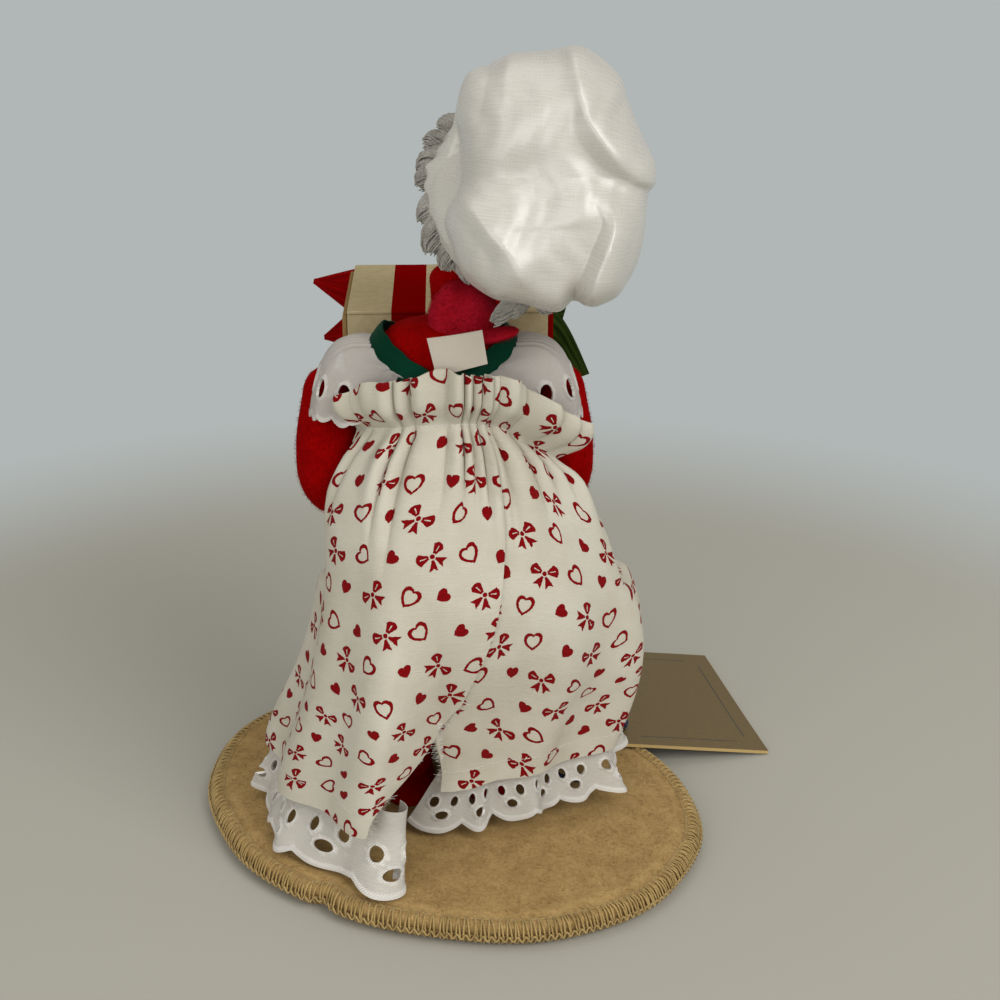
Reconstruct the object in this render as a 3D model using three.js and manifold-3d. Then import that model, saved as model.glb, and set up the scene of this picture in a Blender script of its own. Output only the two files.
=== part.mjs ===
// Felt Christmas doll in a mob cap, standing on a felt base and holding a gift box.
// Millimetres, +Z up. The doll faces -Y, its left side is +X, and the origin is under the base's middle.

import * as THREE from "three";
import { mergeVertices } from "three/addons/utils/BufferGeometryUtils.js";
import Module from "manifold-3d";

const wasm = await Module();
wasm.setup();

// Fits, sheet thicknesses and wire
const FIT = 0.3;
const FELT = 1.5;
const CLOTH = 0.7;
const LACE = 0.6;
const CARD = 0.9;
const WIRE_R = 0.9;
const BORE_R = WIRE_R + FIT;

// Base
const BASE_LONG = 134;
const BASE_SHORT = 109;
const BASE_TURN = -39;
const BOARD = 2;
const RIM_W = 3.2;
const BOARD_INSET = 6;
const BASE_TOP = 2 * FELT + BOARD + 2 * FIT;

// Legs, feet and hips
const LEG_X = 10.5;
const LEG_Y = 2;
const LEG_R = 8.2;
const ANKLE_R = 6;
const FOOT_L = 25;
const FOOT_W = 13.6;
const FOOT_H = 9;
const LEG_RISE = 68.1;
const HIP_W = 34;
const HIP_D = 27;
const HIP_H = 26;
const FOOT_Z = BASE_TOP + FIT;
const HIP_Z = FOOT_Z + LEG_RISE;
const WAIST_Z = HIP_Z + 0.38 * HIP_H;

// Torso, neck and head
const TORSO_W = 33;
const TORSO_D = 27;
const TORSO_H = 46.2;
const TORSO_Z = WAIST_Z + FIT;
const NECK_R = 8.4;
const NECK = new THREE.Vector3(-4.5, 1, TORSO_Z + TORSO_H + 1.2);
const HEAD_R = 19.5;
const HEAD_SHIFT = new THREE.Vector3(-11.5, -4.5, HEAD_R + 4.5);
const HEAD_YAW = 20;
const HEAD_LEAN = -12;
const CAP_TILT = 55;
const CAP_R = 24.6;
const CAP_H = 29;
const CAP_SHIFT = new THREE.Vector3(-1, -2.5, 3.5);
const LOCK_R = 4.2;
const LOCKS = 13;

// Arms
const ARM_R = 7.3;
const SHOULDER_R = 4.6;
const ARM_ROOM = 3.9;
const ARM_X = TORSO_W / 2 + ARM_ROOM + ARM_R;
const ARM_Y = -3;
const ARM_TOP = TORSO_Z + TORSO_H - 12;
const FOREARM_R = 6.2;
const FOREARM_L = 32;
const FOREARM_Z = WAIST_Z - 0.4;
const FOREARM_TURN = 10;
const HAND_R = 6;

// Gift
const GIFT_W = 50;
const GIFT_D = 46;
const GIFT_H = 36.5;
const GIFT_X = -1.7;
const GIFT_GAP = 8;
const RIBBON_W = 10;
const RIBBON_T = 0.6;
const BOW_KNOT_R = 4.2;
const BOW_KNOT_T = 2.2;
const RED_UPPER = { reach: 36, rise: 31 };
const RED_LOWER = { reach: 35, rise: 19 };
const GREEN_UPPER = { reach: 31, rise: 24 };
const GREEN_LOWER = { reach: 37, rise: 6 };
const GIFT_BACK = -(TORSO_D / 2 + GIFT_GAP);
const GIFT_Z = FOREARM_Z + FOREARM_R + FIT;

// Skirt, measured from the waist and to the hem on each side of the doll
const WAIST_EASE = 2.6;
const ELASTIC_R = 0.4;
const SKIRT_X = -0.8;
const HEM_RISE = 17;
const HEM_TILT = 3.5;
const HEADING = 15;
const SKIRT_SIDES = {
  left: { hem: 45, bulge: 0.5 },
  right: { hem: 41, bulge: 14 },
  back: { hem: 38, bulge: 8 },
  front: { hem: 36, bulge: 0 },
};
const BACK_SKEW = 0.36;
const FOLDS = 11;
const FOLD_DEPTH = 0.045;
const SEAM_ANGLE = 93;
const SEAM_DRIFT = 24;
const SLIT_START = 0.5;
const SLIT_HALF = 8;
const LACE_DROP = 12.5;
const LACE_UP = 5;

// Collar
const TAPE_W = 5.4;
const TAPE_T = 0.8;
const LABEL_T = 0.5;
const FLOUNCE_W = 24.4;

// Hang tag on its cord
const TAG_W = 43;
const TAG_L = 58;
const TAG_AT = new THREE.Vector3(-45, -17.5, BASE_TOP + 1.65);
const TAG_YAW = 9;
const TAG_SLOPE = -9.4;
const CORD_R = 0.65;
const KNOT_R = 2;
const TAG_HOLE = 2.8;

// Colours, each as a sheet or stuffing surface of one kind
const MATERIALS = {
  tan: cloth(0xb79a7c, 1),
  thread: cloth(0xd8c9ae, 0.9),
  board: cloth(0x9b8f7f, 0.9),
  red: cloth(0xc0181e, 1),
  raspberry: cloth(0xb01a3c, 1),
  skin: cloth(0xe9bd98, 1),
  white: cloth(0xf2efe9, 0.7),
  print: cloth(0xece4d8, 0.85),
  hair: cloth(0xf4f1ea, 1),
  green: cloth(0x1f6a3d, 0.8),
  label: cloth(0xf6f4f0, 0.7),
  card: cloth(0xe9e0cb, 0.8),
  darkGreen: cloth(0x173f2b, 0.35),
  redRibbon: cloth(0xb01c20, 0.35),
  kraft: cloth(0xb08a52, 0.6),
  navy: cloth(0x1d2236, 0.9),
  wire: cloth(0x8d9095, 0.35, 1),
};

function cloth(color, roughness, metalness = 0) {
  return new THREE.MeshStandardMaterial({ color, roughness, metalness });
}

function rad(degrees) {
  return THREE.MathUtils.degToRad(degrees);
}

function mix(a, b, t) {
  return a + (b - a) * t;
}

function smooth(from, to, x) {
  return THREE.MathUtils.smoothstep(x, from, to);
}

function vec(x, y, z) {
  return new THREE.Vector3(x, y, z);
}

// One closed body from shared points, turned to face outwards.
function closedBody(points, index) {
  let volume = 0;
  const normal = vec(0, 0, 0);
  for (let k = 0; k < index.length; k += 3) {
    const [a, b, c] = [points[index[k]], points[index[k + 1]], points[index[k + 2]]];
    volume += a.dot(normal.crossVectors(b, c));
  }
  const facing = volume > 0 ? index : [...index].reverse();
  return new THREE.BufferGeometry().setFromPoints(points).setIndex(facing);
}

// A body through rings of equal count, each end closed by a fan.
function loft(rings) {
  const count = rings[0].length;
  const points = rings.flat();
  const index = [];
  for (let i = 0; i + 1 < rings.length; i += 1) {
    for (let j = 0; j < count; j += 1) {
      const a = i * count + j;
      const b = i * count + ((j + 1) % count);
      index.push(a, b, b + count, a, b + count, a + count);
    }
  }
  for (const [ring, turned] of [[0, true], [rings.length - 1, false]]) {
    const middle = points.length;
    points.push(rings[ring].reduce((sum, p) => sum.add(p), vec(0, 0, 0)).divideScalar(count));
    for (let j = 0; j < count; j += 1) {
      const a = ring * count + j;
      const b = ring * count + ((j + 1) % count);
      index.push(middle, turned ? b : a, turned ? a : b);
    }
  }
  return closedBody(points, index);
}

// A body whose section runs round a closed loop.
function loopBody(rings) {
  const count = rings[0].length;
  const points = rings.flat();
  const index = [];
  rings.forEach((ring, i) => {
    const next = ((i + 1) % rings.length) * count;
    for (let j = 0; j < count; j += 1) {
      const a = i * count + j;
      const b = i * count + ((j + 1) % count);
      const c = next + j;
      const d = next + ((j + 1) % count);
      index.push(a, b, d, a, d, c);
    }
  });
  return closedBody(points, index);
}

// A sheet of even thickness about a surface given over u and v from 0 to 1.
function sheet(surface, uSteps, vSteps, thickness) {
  const step = 1e-3;
  const points = [];
  const row = vSteps + 1;
  const layer = (uSteps + 1) * row;
  for (const side of [0.5, -0.5]) {
    for (let i = 0; i <= uSteps; i += 1) {
      for (let j = 0; j <= vSteps; j += 1) {
        const [u, v] = [i / uSteps, j / vSteps];
        const [u0, u1] = [Math.max(u - step, 0), Math.min(u + step, 1)];
        const [v0, v1] = [Math.max(v - step, 0), Math.min(v + step, 1)];
        const alongU = surface(u1, v).sub(surface(u0, v));
        const alongV = surface(u, v1).sub(surface(u, v0));
        const normal = alongU.cross(alongV).normalize();
        points.push(surface(u, v).addScaledVector(normal, side * thickness));
      }
    }
  }
  const index = [];
  const quad = (a, b, c, d) => index.push(a, b, c, a, c, d);
  for (let i = 0; i < uSteps; i += 1) {
    for (let j = 0; j < vSteps; j += 1) {
      const a = i * row + j;
      quad(a, a + row, a + row + 1, a + 1);
      quad(layer + a, layer + a + 1, layer + a + row + 1, layer + a + row);
    }
    const [top, low] = [i * row, i * row + vSteps];
    quad(top, layer + top, layer + top + row, top + row);
    quad(low, low + row, layer + low + row, layer + low);
  }
  for (let j = 0; j < vSteps; j += 1) {
    const [first, last] = [j, uSteps * row + j];
    quad(first, first + 1, layer + first + 1, layer + first);
    quad(last, layer + last, layer + last + 1, last + 1);
  }
  return closedBody(points, index);
}

function ovalRing(middle, rx, ry, sides) {
  return Array.from({ length: sides }, (_, j) => {
    const angle = (j / sides) * 2 * Math.PI;
    return vec(middle.x + rx * Math.cos(angle), middle.y + ry * Math.sin(angle), middle.z);
  });
}

// A stuffed limb along +Z: each station is a part of its length and a part of its radius.
const LIMB_STATIONS = [[0, 0.42], [0.05, 0.78], [0.16, 1], [0.5, 1.03], [0.84, 1], [0.95, 0.78], [1, 0.42]];

function limb(from, to, startR, endR, swell = 0, sides = 12) {
  const length = from.distanceTo(to);
  const rings = LIMB_STATIONS.map(([t, part]) => {
    const radius = mix(startR, endR, t) * part * (1 + swell * Math.sin(Math.PI * t));
    return ovalRing(vec(0, 0, t * length), radius, radius, sides);
  });
  const turn = new THREE.Quaternion().setFromUnitVectors(vec(0, 0, 1), to.clone().sub(from).normalize());
  return loft(rings).applyQuaternion(turn).translate(from.x, from.y, from.z);
}

function ball(middle, rx, ry, rz, around = 14, rise = 8) {
  const geometry = new THREE.SphereGeometry(1, around, rise).rotateX(Math.PI / 2);
  return geometry.scale(rx, ry, rz).translate(middle.x, middle.y, middle.z);
}

function box(from, to) {
  const size = to.clone().sub(from);
  const middle = from.clone().add(to).multiplyScalar(0.5);
  return new THREE.BoxGeometry(size.x, size.y, size.z).translate(middle.x, middle.y, middle.z);
}

// A round wire or cord through the given points.
function strand(points, radius, steps, sides = 8) {
  const section = new THREE.Shape();
  for (let j = 0; j < sides; j += 1) {
    const angle = (j / sides) * 2 * Math.PI;
    const [x, y] = [radius * Math.cos(angle), radius * Math.sin(angle)];
    if (j === 0) section.moveTo(x, y);
    else section.lineTo(x, y);
  }
  const path = new THREE.CatmullRomCurve3(points);
  return new THREE.ExtrudeGeometry(section, { steps, bevelEnabled: false, extrudePath: path });
}

function solid(geometry) {
  const bare = new THREE.BufferGeometry();
  bare.setAttribute("position", geometry.getAttribute("position"));
  if (geometry.index) bare.setIndex(geometry.index);
  const merged = mergeVertices(bare, 1e-4);
  const kept = [];
  const index = merged.index.array;
  for (let k = 0; k < index.length; k += 3) {
    const [a, b, c] = [index[k], index[k + 1], index[k + 2]];
    if (a !== b && b !== c && c !== a) kept.push(a, b, c);
  }
  const mesh = new wasm.Mesh({
    numProp: 3,
    vertProperties: new Float32Array(merged.getAttribute("position").array),
    triVerts: new Uint32Array(kept),
  });
  return new wasm.Manifold(mesh);
}

function shaped(manifold) {
  const mesh = manifold.getMesh();
  const geometry = new THREE.BufferGeometry();
  geometry.setAttribute("position", new THREE.BufferAttribute(new Float32Array(mesh.vertProperties), 3));
  return geometry.setIndex(new THREE.BufferAttribute(new Uint32Array(mesh.triVerts), 1));
}

function cut(geometry, ...tools) {
  return shaped(tools.reduce((body, tool) => body.subtract(solid(tool)), solid(geometry)));
}

// The largest piece of a body that its cuts may have parted.
function largest(geometry) {
  const pieces = solid(geometry).decompose();
  return shaped(pieces.reduce((best, next) => (next.volume() > best.volume() ? next : best)));
}

function fused(...geometries) {
  return shaped(geometries.map(solid).reduce((all, next) => all.add(next)));
}

function place(parent, name, geometry, material) {
  const mesh = new THREE.Mesh(geometry, material);
  mesh.name = name;
  parent.add(mesh);
  return mesh;
}

// Base: two felt ovals over a board, overlocked together at the edge
function baseEdge(angle, inset) {
  const [a, b] = [BASE_LONG / 2, BASE_SHORT / 2];
  const outward = new THREE.Vector2(b * Math.cos(angle), a * Math.sin(angle)).normalize();
  const point = new THREE.Vector2(a * Math.cos(angle), b * Math.sin(angle)).addScaledVector(outward, -inset);
  return point.rotateAround(new THREE.Vector2(0, 0), rad(BASE_TURN));
}

function basePlate(inset, z, thickness, drilled) {
  const steps = 44;
  const edge = Array.from({ length: steps }, (_, i) => baseEdge((i / steps) * 2 * Math.PI, inset));
  const outline = new THREE.Shape(edge);
  for (const x of drilled ? [LEG_X, -LEG_X] : []) {
    outline.holes.push(new THREE.Path().absarc(x, LEG_Y, BORE_R, 0, 2 * Math.PI, true));
  }
  const options = { depth: thickness, bevelEnabled: false, curveSegments: 8 };
  return new THREE.ExtrudeGeometry(outline, options).translate(0, 0, z);
}

function overlockEdge() {
  const steps = 44;
  const section = [[RIM_W, 0], [1.6, 0], [0.2, 0.3], [0.2, 0.7], [1.4, 1], [RIM_W, 1]];
  const rings = Array.from({ length: steps }, (_, i) => section.map(([inset, rise]) => {
    const at = baseEdge((i / steps) * 2 * Math.PI, inset);
    return vec(at.x, at.y, rise * BASE_TOP);
  }));
  return loopBody(rings);
}

function makeBase(doll) {
  const inset = RIM_W + FIT;
  const boardZ = FELT + FIT;
  place(doll, "base_felt_bottom", basePlate(inset, 0, FELT, false), MATERIALS.tan);
  place(doll, "base_board", basePlate(BOARD_INSET, boardZ, BOARD, true), MATERIALS.board);
  place(doll, "base_felt_top", basePlate(inset, boardZ + BOARD + FIT, FELT, true), MATERIALS.tan);
  place(doll, "base_overlock_edge", overlockEdge(), MATERIALS.thread);
}

// Legs: feet flat on the base, legs up into the hips, one wire in each
function foot(x, grow) {
  const middle = vec(x, LEG_Y - 0.22 * FOOT_L, FOOT_Z);
  const whole = ball(middle, FOOT_W / 2 + grow, FOOT_L / 2 + grow, FOOT_H + grow);
  const below = box(vec(-200, -200, FOOT_Z - 50), vec(200, 200, FOOT_Z));
  return cut(whole, below);
}

function hips(grow) {
  const whole = ball(vec(0, LEG_Y, HIP_Z), HIP_W / 2 + grow, HIP_D / 2 + grow, HIP_H / 2 + grow, 16, 8);
  return cut(whole, box(vec(-200, -200, WAIST_Z + grow), vec(200, 200, WAIST_Z + 100)));
}

function legWire(x, radius) {
  return strand([vec(x, LEG_Y, FELT + FIT), vec(x, LEG_Y, HIP_Z)], radius, 1);
}

function makeLegs(doll) {
  place(doll, "hips", cut(hips(0), legWire(LEG_X, BORE_R), legWire(-LEG_X, BORE_R)), MATERIALS.red);
  for (const [side, x] of [["left", LEG_X], ["right", -LEG_X]]) {
    const bore = legWire(x, BORE_R);
    const whole = limb(vec(x, LEG_Y, FOOT_Z + 0.55 * FOOT_H), vec(x, LEG_Y, HIP_Z), ANKLE_R, LEG_R);
    place(doll, `${side}_foot`, cut(foot(x, 0), bore), MATERIALS.red);
    place(doll, `${side}_leg`, cut(whole, foot(x, FIT), hips(FIT), bore), MATERIALS.red);
    place(doll, `${side}_leg_wire`, legWire(x, WIRE_R), MATERIALS.wire);
  }
}

// Torso: each level is a part of its height, width and depth
const TORSO_LEVELS = [
  [0, 0.86, 0.86], [0.05, 0.96, 0.96], [0.25, 1, 1], [0.6, 1, 1],
  [0.78, 1, 0.97], [0.9, 0.9, 0.86], [0.97, 0.68, 0.7], [1, 0.46, 0.52],
];

function torsoBody() {
  return loft(TORSO_LEVELS.map(([rise, wide, deep]) => {
    const middle = vec(0, 0, TORSO_Z + rise * TORSO_H);
    return ovalRing(middle, (wide * TORSO_W) / 2, (deep * TORSO_D) / 2, 20);
  }));
}

function shoulder(side) {
  const reach = ARM_X - 0.62 * SHOULDER_R - FIT;
  const middle = vec((side * reach) / 2, ARM_Y, ARM_TOP - 0.4);
  return ball(middle, reach / 2, 0.24 * TORSO_D, 3.2, 10, 6);
}

function spineWire(radius, below) {
  const [low, high] = [TORSO_Z - below, NECK.z - NECK_R - 2];
  return strand([vec(NECK.x, NECK.y, low), vec(NECK.x, NECK.y, high)], radius, 1);
}

function neckWire(radius, below) {
  const [low, high] = [NECK.z - 0.8 * NECK_R - below, NECK.z + 0.75 * NECK_R];
  return strand([NECK.clone().setZ(low), NECK.clone().setZ(high)], radius, 1);
}

function makeTorso(doll) {
  const seat = ball(NECK, NECK_R + FIT, NECK_R + FIT, NECK_R + FIT);
  const whole = fused(torsoBody(), shoulder(1), shoulder(-1));
  place(doll, "torso", cut(whole, seat, spineWire(BORE_R, 1)), MATERIALS.red);
  place(doll, "spine_wire", spineWire(WIRE_R, 0), MATERIALS.wire);
  const neck = ball(NECK, NECK_R, NECK_R, NECK_R);
  place(doll, "neck_ball", cut(neck, neckWire(BORE_R, NECK_R)), MATERIALS.raspberry);
  place(doll, "neck_wire", neckWire(WIRE_R, 0), MATERIALS.wire);
}

// Skirt: one gathered tube of cloth with a heading above the waist and a slit at the back
function waistZ(angle) {
  const turn = rad(angle);
  return GIFT_Z + 12 + 4.5 * Math.sin(turn) + 3 * Math.cos(turn);
}

function hemZ(angle) {
  return BASE_TOP + HEM_RISE - HEM_TILT * Math.cos(rad(angle - 50));
}

function armDent(angle, z) {
  const elbow = FOREARM_Z - ARM_R;
  const high = smooth(elbow - 11, elbow - 2, z);
  const folded = Math.abs(((((angle + 90) % 360) + 360) % 360) - 180);
  const fromSide = 90 - folded;
  return high * smooth(-68, -40, fromSide) * (1 - smooth(12, 34, fromSide));
}

function skirtRadii(angle, part) {
  const turn = rad(angle);
  const across = Math.cos(turn) > 0 ? SKIRT_SIDES.left : SKIRT_SIDES.right;
  const along = Math.sin(turn) > 0 ? SKIRT_SIDES.back : SKIRT_SIDES.front;
  const run = Math.max(part, 0);
  const swell = Math.sin(Math.PI * Math.min(run, 1));
  const [rx, ry] = [TORSO_W / 2 + WAIST_EASE, TORSO_D / 2 + WAIST_EASE];
  const skew = 1 + BACK_SKEW * run * Math.cos(turn) * Math.max(Math.sin(turn), 0);
  const wide = mix(rx, across.hem, run) + across.bulge * swell;
  return [wide, (mix(ry, along.hem, run) + along.bulge * swell) * skew];
}

function skirtPoint(angle, z, inward = 0) {
  const [top, low] = [waistZ(angle), hemZ(angle)];
  const part = (top - z) / (top - low);
  const turn = rad(angle);
  const [rx, ry] = skirtRadii(angle, part);
  const [waistX, waistY] = skirtRadii(angle, 0);
  const dent = armDent(angle, z);
  const fold = 1 + FOLD_DEPTH * smooth(0, 1, part) * Math.cos(FOLDS * turn + 0.6);
  const x = mix(rx * fold, waistX, dent) - inward;
  const y = mix(ry * fold, waistY, dent) - inward;
  return vec(SKIRT_X * (1 - dent) + x * Math.cos(turn), y * Math.sin(turn), z);
}

function headingFlare(angle) {
  const lean = Math.cos(rad(angle - 150));
  const back = smooth(-0.15, 0.8, Math.sin(rad(angle)));
  return 0.4 + back * (3.5 + 5.5 * Math.max(lean, 0));
}

function slitAngle(u, part) {
  const run = THREE.MathUtils.clamp(part, 0, 1.3);
  const half = 0.9 + SLIT_HALF * smooth(SLIT_START, 1.05, run);
  return SEAM_ANGLE - SEAM_DRIFT * Math.pow(run, 1.5) + half + u * (360 - 2 * half);
}

function skirtSurface(u, v) {
  const headingShare = 0.14;
  if (v < headingShare) {
    const up = 1 - v / headingShare;
    const angle = slitAngle(u, 0);
    const rise = HEADING * mix(0.5, 1, Math.max(Math.sin(rad(angle)), 0));
    const point = skirtPoint(angle, waistZ(angle));
    const out = headingFlare(angle) * Math.pow(up, 0.8) * (1 + 0.15 * Math.cos(15 * rad(angle)));
    return point.add(vec(out * Math.cos(rad(angle)), out * Math.sin(rad(angle)), rise * up));
  }
  const part = (v - headingShare) / (1 - headingShare);
  const angle = slitAngle(u, part);
  return skirtPoint(angle, mix(waistZ(angle), hemZ(angle), part));
}

function laceSurface(u, v) {
  const inward = CLOTH / 2 + LACE / 2 + FIT + 1;
  const angle = slitAngle(u, 1);
  const top = hemZ(angle) + LACE_UP;
  const low = hemZ(angle) - LACE_DROP;
  return skirtPoint(angle, mix(top, low, v), inward);
}

function waistElastic() {
  const steps = 28;
  const sides = 4;
  const rings = Array.from({ length: steps }, (_, i) => {
    const angle = (i / steps) * 360;
    const at = skirtPoint(angle, waistZ(angle), CLOTH / 2 + FIT + ELASTIC_R);
    const outward = vec(Math.cos(rad(angle)), Math.sin(rad(angle)), 0);
    return Array.from({ length: sides }, (__, j) => {
      const turn = (j / sides) * 2 * Math.PI;
      const rise = vec(0, 0, ELASTIC_R * Math.sin(turn));
      return at.clone().addScaledVector(outward, ELASTIC_R * Math.cos(turn)).add(rise);
    });
  });
  return loopBody(rings);
}

function makeSkirt(doll) {
  place(doll, "skirt", sheet(skirtSurface, 54, 9, CLOTH), MATERIALS.print);
  place(doll, "hem_lace", sheet(laceSurface, 54, 3, LACE), MATERIALS.white);
  place(doll, "waist_elastic", waistElastic(), MATERIALS.white);
}

// Collar: bias tape round the neckline and a lace flounce over each shoulder
function neckline(angle, out = 0) {
  const turn = rad(angle);
  const rise = Math.pow(Math.abs(Math.cos(turn)), 1.3);
  const wide = mix(TORSO_W / 2, 0.86 * TORSO_W / 2, rise) + 1.1 + out;
  const deep = TORSO_D / 2 + 1.1 + out;
  const z = TORSO_Z + TORSO_H * mix(0.74, 0.93, rise);
  return vec(wide * Math.cos(turn), deep * Math.sin(turn), z);
}

function tapeRing() {
  const steps = 36;
  const rings = Array.from({ length: steps }, (_, i) => {
    const angle = (i / steps) * 360;
    const middle = neckline(angle, TAPE_T / 2);
    const along = neckline(angle + 1).sub(neckline(angle - 1)).normalize();
    const lean = 0.25 + 0.5 * Math.abs(Math.cos(rad(angle)));
    const outward = vec(Math.cos(rad(angle)), Math.sin(rad(angle)), lean);
    const normal = outward.addScaledVector(along, -outward.dot(along)).normalize();
    const width = along.clone().cross(normal);
    return [[0.5, 0.5], [-0.5, 0.5], [-0.5, -0.5], [0.5, -0.5]].map(([w, t]) =>
      middle.clone().addScaledVector(width, w * TAPE_W).addScaledVector(normal, t * TAPE_T));
  });
  return loopBody(rings);
}

function flounceSurface(side) {
  return (u, v) => {
    const angle = mix(52, -36, u);
    const inner = neckline(angle, TAPE_T + LACE / 2 + FIT);
    const turn = rad(angle);
    const ruffle = 1 + 0.03 * v * Math.cos(u * 5 * 2 * Math.PI);
    const reach = FLOUNCE_W * Math.pow(Math.cos(turn), 0.7) * ruffle;
    const bend = rad(90 * Math.pow(v, 0.75));
    const out = 0.74 * reach * Math.sin(bend);
    const drop = 0.85 * reach * (1 - Math.cos(bend));
    const x = inner.x + out * Math.cos(turn * 0.9);
    const y = inner.y + out * Math.sin(turn * 0.9);
    return vec(side * x, y, inner.z + TAPE_W * 0.2 - drop);
  };
}

function makeCollar(doll) {
  place(doll, "neckline_tape", tapeRing(), MATERIALS.green);
  place(doll, "left_shoulder_lace", sheet(flounceSurface(1), 12, 5, LACE), MATERIALS.white);
  place(doll, "right_shoulder_lace", sheet(flounceSurface(-1), 12, 5, LACE), MATERIALS.white);
}

// Arms: upright upper arms that turn on their own axis, forearms under the gift
function elbowAt(side) {
  return vec(side * ARM_X, ARM_Y, FOREARM_Z);
}

function wristAt(side, reach) {
  const turn = rad(FOREARM_TURN);
  return elbowAt(side).add(vec(-side * reach * Math.sin(turn), -reach * Math.cos(turn), 0));
}

function armWire(side, radius) {
  const top = vec(side * ARM_X, ARM_Y, ARM_TOP - 4);
  const bend = 4;
  const points = [top, elbowAt(side).add(vec(0, 0, bend)), wristAt(side, bend), wristAt(side, FOREARM_L)];
  return strand(points, radius, 8);
}

function makeArm(doll, name, side) {
  const upper = (grow) => {
    const low = elbowAt(side).add(vec(0, 0, -ARM_R - grow));
    return limb(low, elbowAt(side).setZ(ARM_TOP + grow), ARM_R - 0.6 + grow, SHOULDER_R + grow, 0.18);
  };
  const lower = (grow) => {
    const wrist = wristAt(side, FOREARM_L);
    return limb(elbowAt(side), wrist, FOREARM_R + grow, FOREARM_R - 0.6 + grow);
  };
  const palm = wristAt(side, FOREARM_L + 0.35 * HAND_R);
  const thumb = palm.clone().add(vec(-side * 0.75 * HAND_R, -0.2 * HAND_R, -0.1 * HAND_R));
  const hand = fused(
    ball(palm, 0.92 * HAND_R, 1.25 * HAND_R, 0.8 * HAND_R, 10, 6),
    ball(thumb, 0.4 * HAND_R, 0.7 * HAND_R, 0.4 * HAND_R, 8, 4));
  const bore = armWire(side, BORE_R);
  place(doll, `${name}_upper_arm`, cut(upper(0), bore), MATERIALS.red);
  place(doll, `${name}_forearm`, cut(lower(0), upper(FIT), bore), MATERIALS.red);
  place(doll, `${name}_hand`, cut(hand, lower(FIT), bore), MATERIALS.skin);
  place(doll, `${name}_arm_wire`, armWire(side, WIRE_R), MATERIALS.wire);
}

// Gift: a hollow carton with a tucked end and a two-coloured bow on its front
function makeGift(doll) {
  const gift = new THREE.Group();
  gift.name = "gift";
  gift.position.set(GIFT_X, GIFT_BACK, GIFT_Z);
  doll.add(gift);
  const half = GIFT_W / 2;
  const outer = box(vec(-half, -GIFT_D, 0), vec(half, 0, GIFT_H));
  const inside = box(vec(-half + CARD, -GIFT_D + CARD, CARD), vec(half + 1, -CARD, GIFT_H - CARD));
  place(gift, "gift_carton", cut(outer, inside), MATERIALS.card);
  const panel = box(
    vec(half - 2 - CARD, -GIFT_D + CARD + FIT, CARD + FIT), vec(half - 2, -CARD - FIT, GIFT_H - CARD - 2.2));
  place(gift, "gift_end_panel", panel, MATERIALS.card);
  makeBow(gift);
}

function ribbonTail(from, to, sag, width) {
  const across = vec(0, 0, 1);
  return (u, v) => {
    const at = from.clone().lerp(to, u);
    at.y -= sag * Math.sin(Math.PI * u);
    const point = 1 - 0.85 * smooth(0.72, 1, u);
    return at.addScaledVector(across, (v - 0.5) * width * point);
  };
}

function makeBow(gift) {
  const front = -GIFT_D - FIT;
  const knot = vec(0, front - BOW_KNOT_T, GIFT_H * 0.62);
  place(gift, "bow_knot", ball(knot, BOW_KNOT_R, BOW_KNOT_T, BOW_KNOT_R, 10, 6), MATERIALS.redRibbon);
  const tails = [
    ["red_bow_upper", 1, RED_UPPER, MATERIALS.redRibbon],
    ["red_bow_lower", 1, RED_LOWER, MATERIALS.redRibbon],
    ["green_bow_upper", -1, GREEN_UPPER, MATERIALS.darkGreen],
    ["green_bow_lower", -1, GREEN_LOWER, MATERIALS.darkGreen],
  ];
  for (const [name, side, end, material] of tails) {
    const ahead = name.endsWith("upper") ? BOW_KNOT_T + FIT : RIBBON_T;
    const sag = 1.5 * ahead;
    const from = vec(side * (BOW_KNOT_R + FIT), front - ahead, knot.z);
    const to = vec(side * end.reach, front - ahead, end.rise);
    place(gift, name, sheet(ribbonTail(from, to, sag, RIBBON_W), 10, 2, RIBBON_T), material);
  }
}

// Head: built about its own middle and leaned over as one group
function makeHead(doll) {
  const head = new THREE.Group();
  head.name = "head_group";
  head.position.copy(NECK).add(HEAD_SHIFT);
  head.rotation.set(0, rad(HEAD_LEAN), rad(HEAD_YAW), "YZX");
  doll.add(head);
  head.updateMatrix();
  const socket = NECK.clone().applyMatrix4(head.matrix.clone().invert());
  const neck = (grow) => ball(socket, NECK_R + grow, NECK_R + grow, NECK_R + grow);
  const skull = (grow) => fused(
    ball(vec(0, 0, 0), HEAD_R + grow, 0.96 * HEAD_R + grow, 1.03 * HEAD_R + grow, 18, 10),
    ball(vec(0, -0.97 * HEAD_R, -0.12 * HEAD_R), 2.4 + grow, 2.4 + grow, 2.2 + grow, 10, 6));
  const inner = socket.clone().multiplyScalar(-0.35);
  const wire = (radius, below) => {
    const start = socket.clone().setLength(socket.length() - NECK_R - 2 * FIT + below);
    return strand([start, inner], radius, 1);
  };
  place(head, "head", cut(skull(0), neck(FIT), wire(BORE_R, 2)), MATERIALS.skin);
  place(head, "head_wire", wire(WIRE_R, 0), MATERIALS.wire);
  place(head, "mob_cap", cut(capBody(0), skull(FIT), neck(FIT)), MATERIALS.white);
  place(head, "hair", largest(cut(hairLocks(), capBody(FIT), skull(FIT), neck(FIT))), MATERIALS.hair);
}

// Cap: each level is a part of its height and of its radius, puffed in lobes
const CAP_LEVELS = [
  [-0.1, 0.72], [0, 0.77], [0.14, 0.92], [0.34, 1], [0.55, 0.98], [0.76, 0.83], [0.92, 0.52], [1, 0.2],
];

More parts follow.
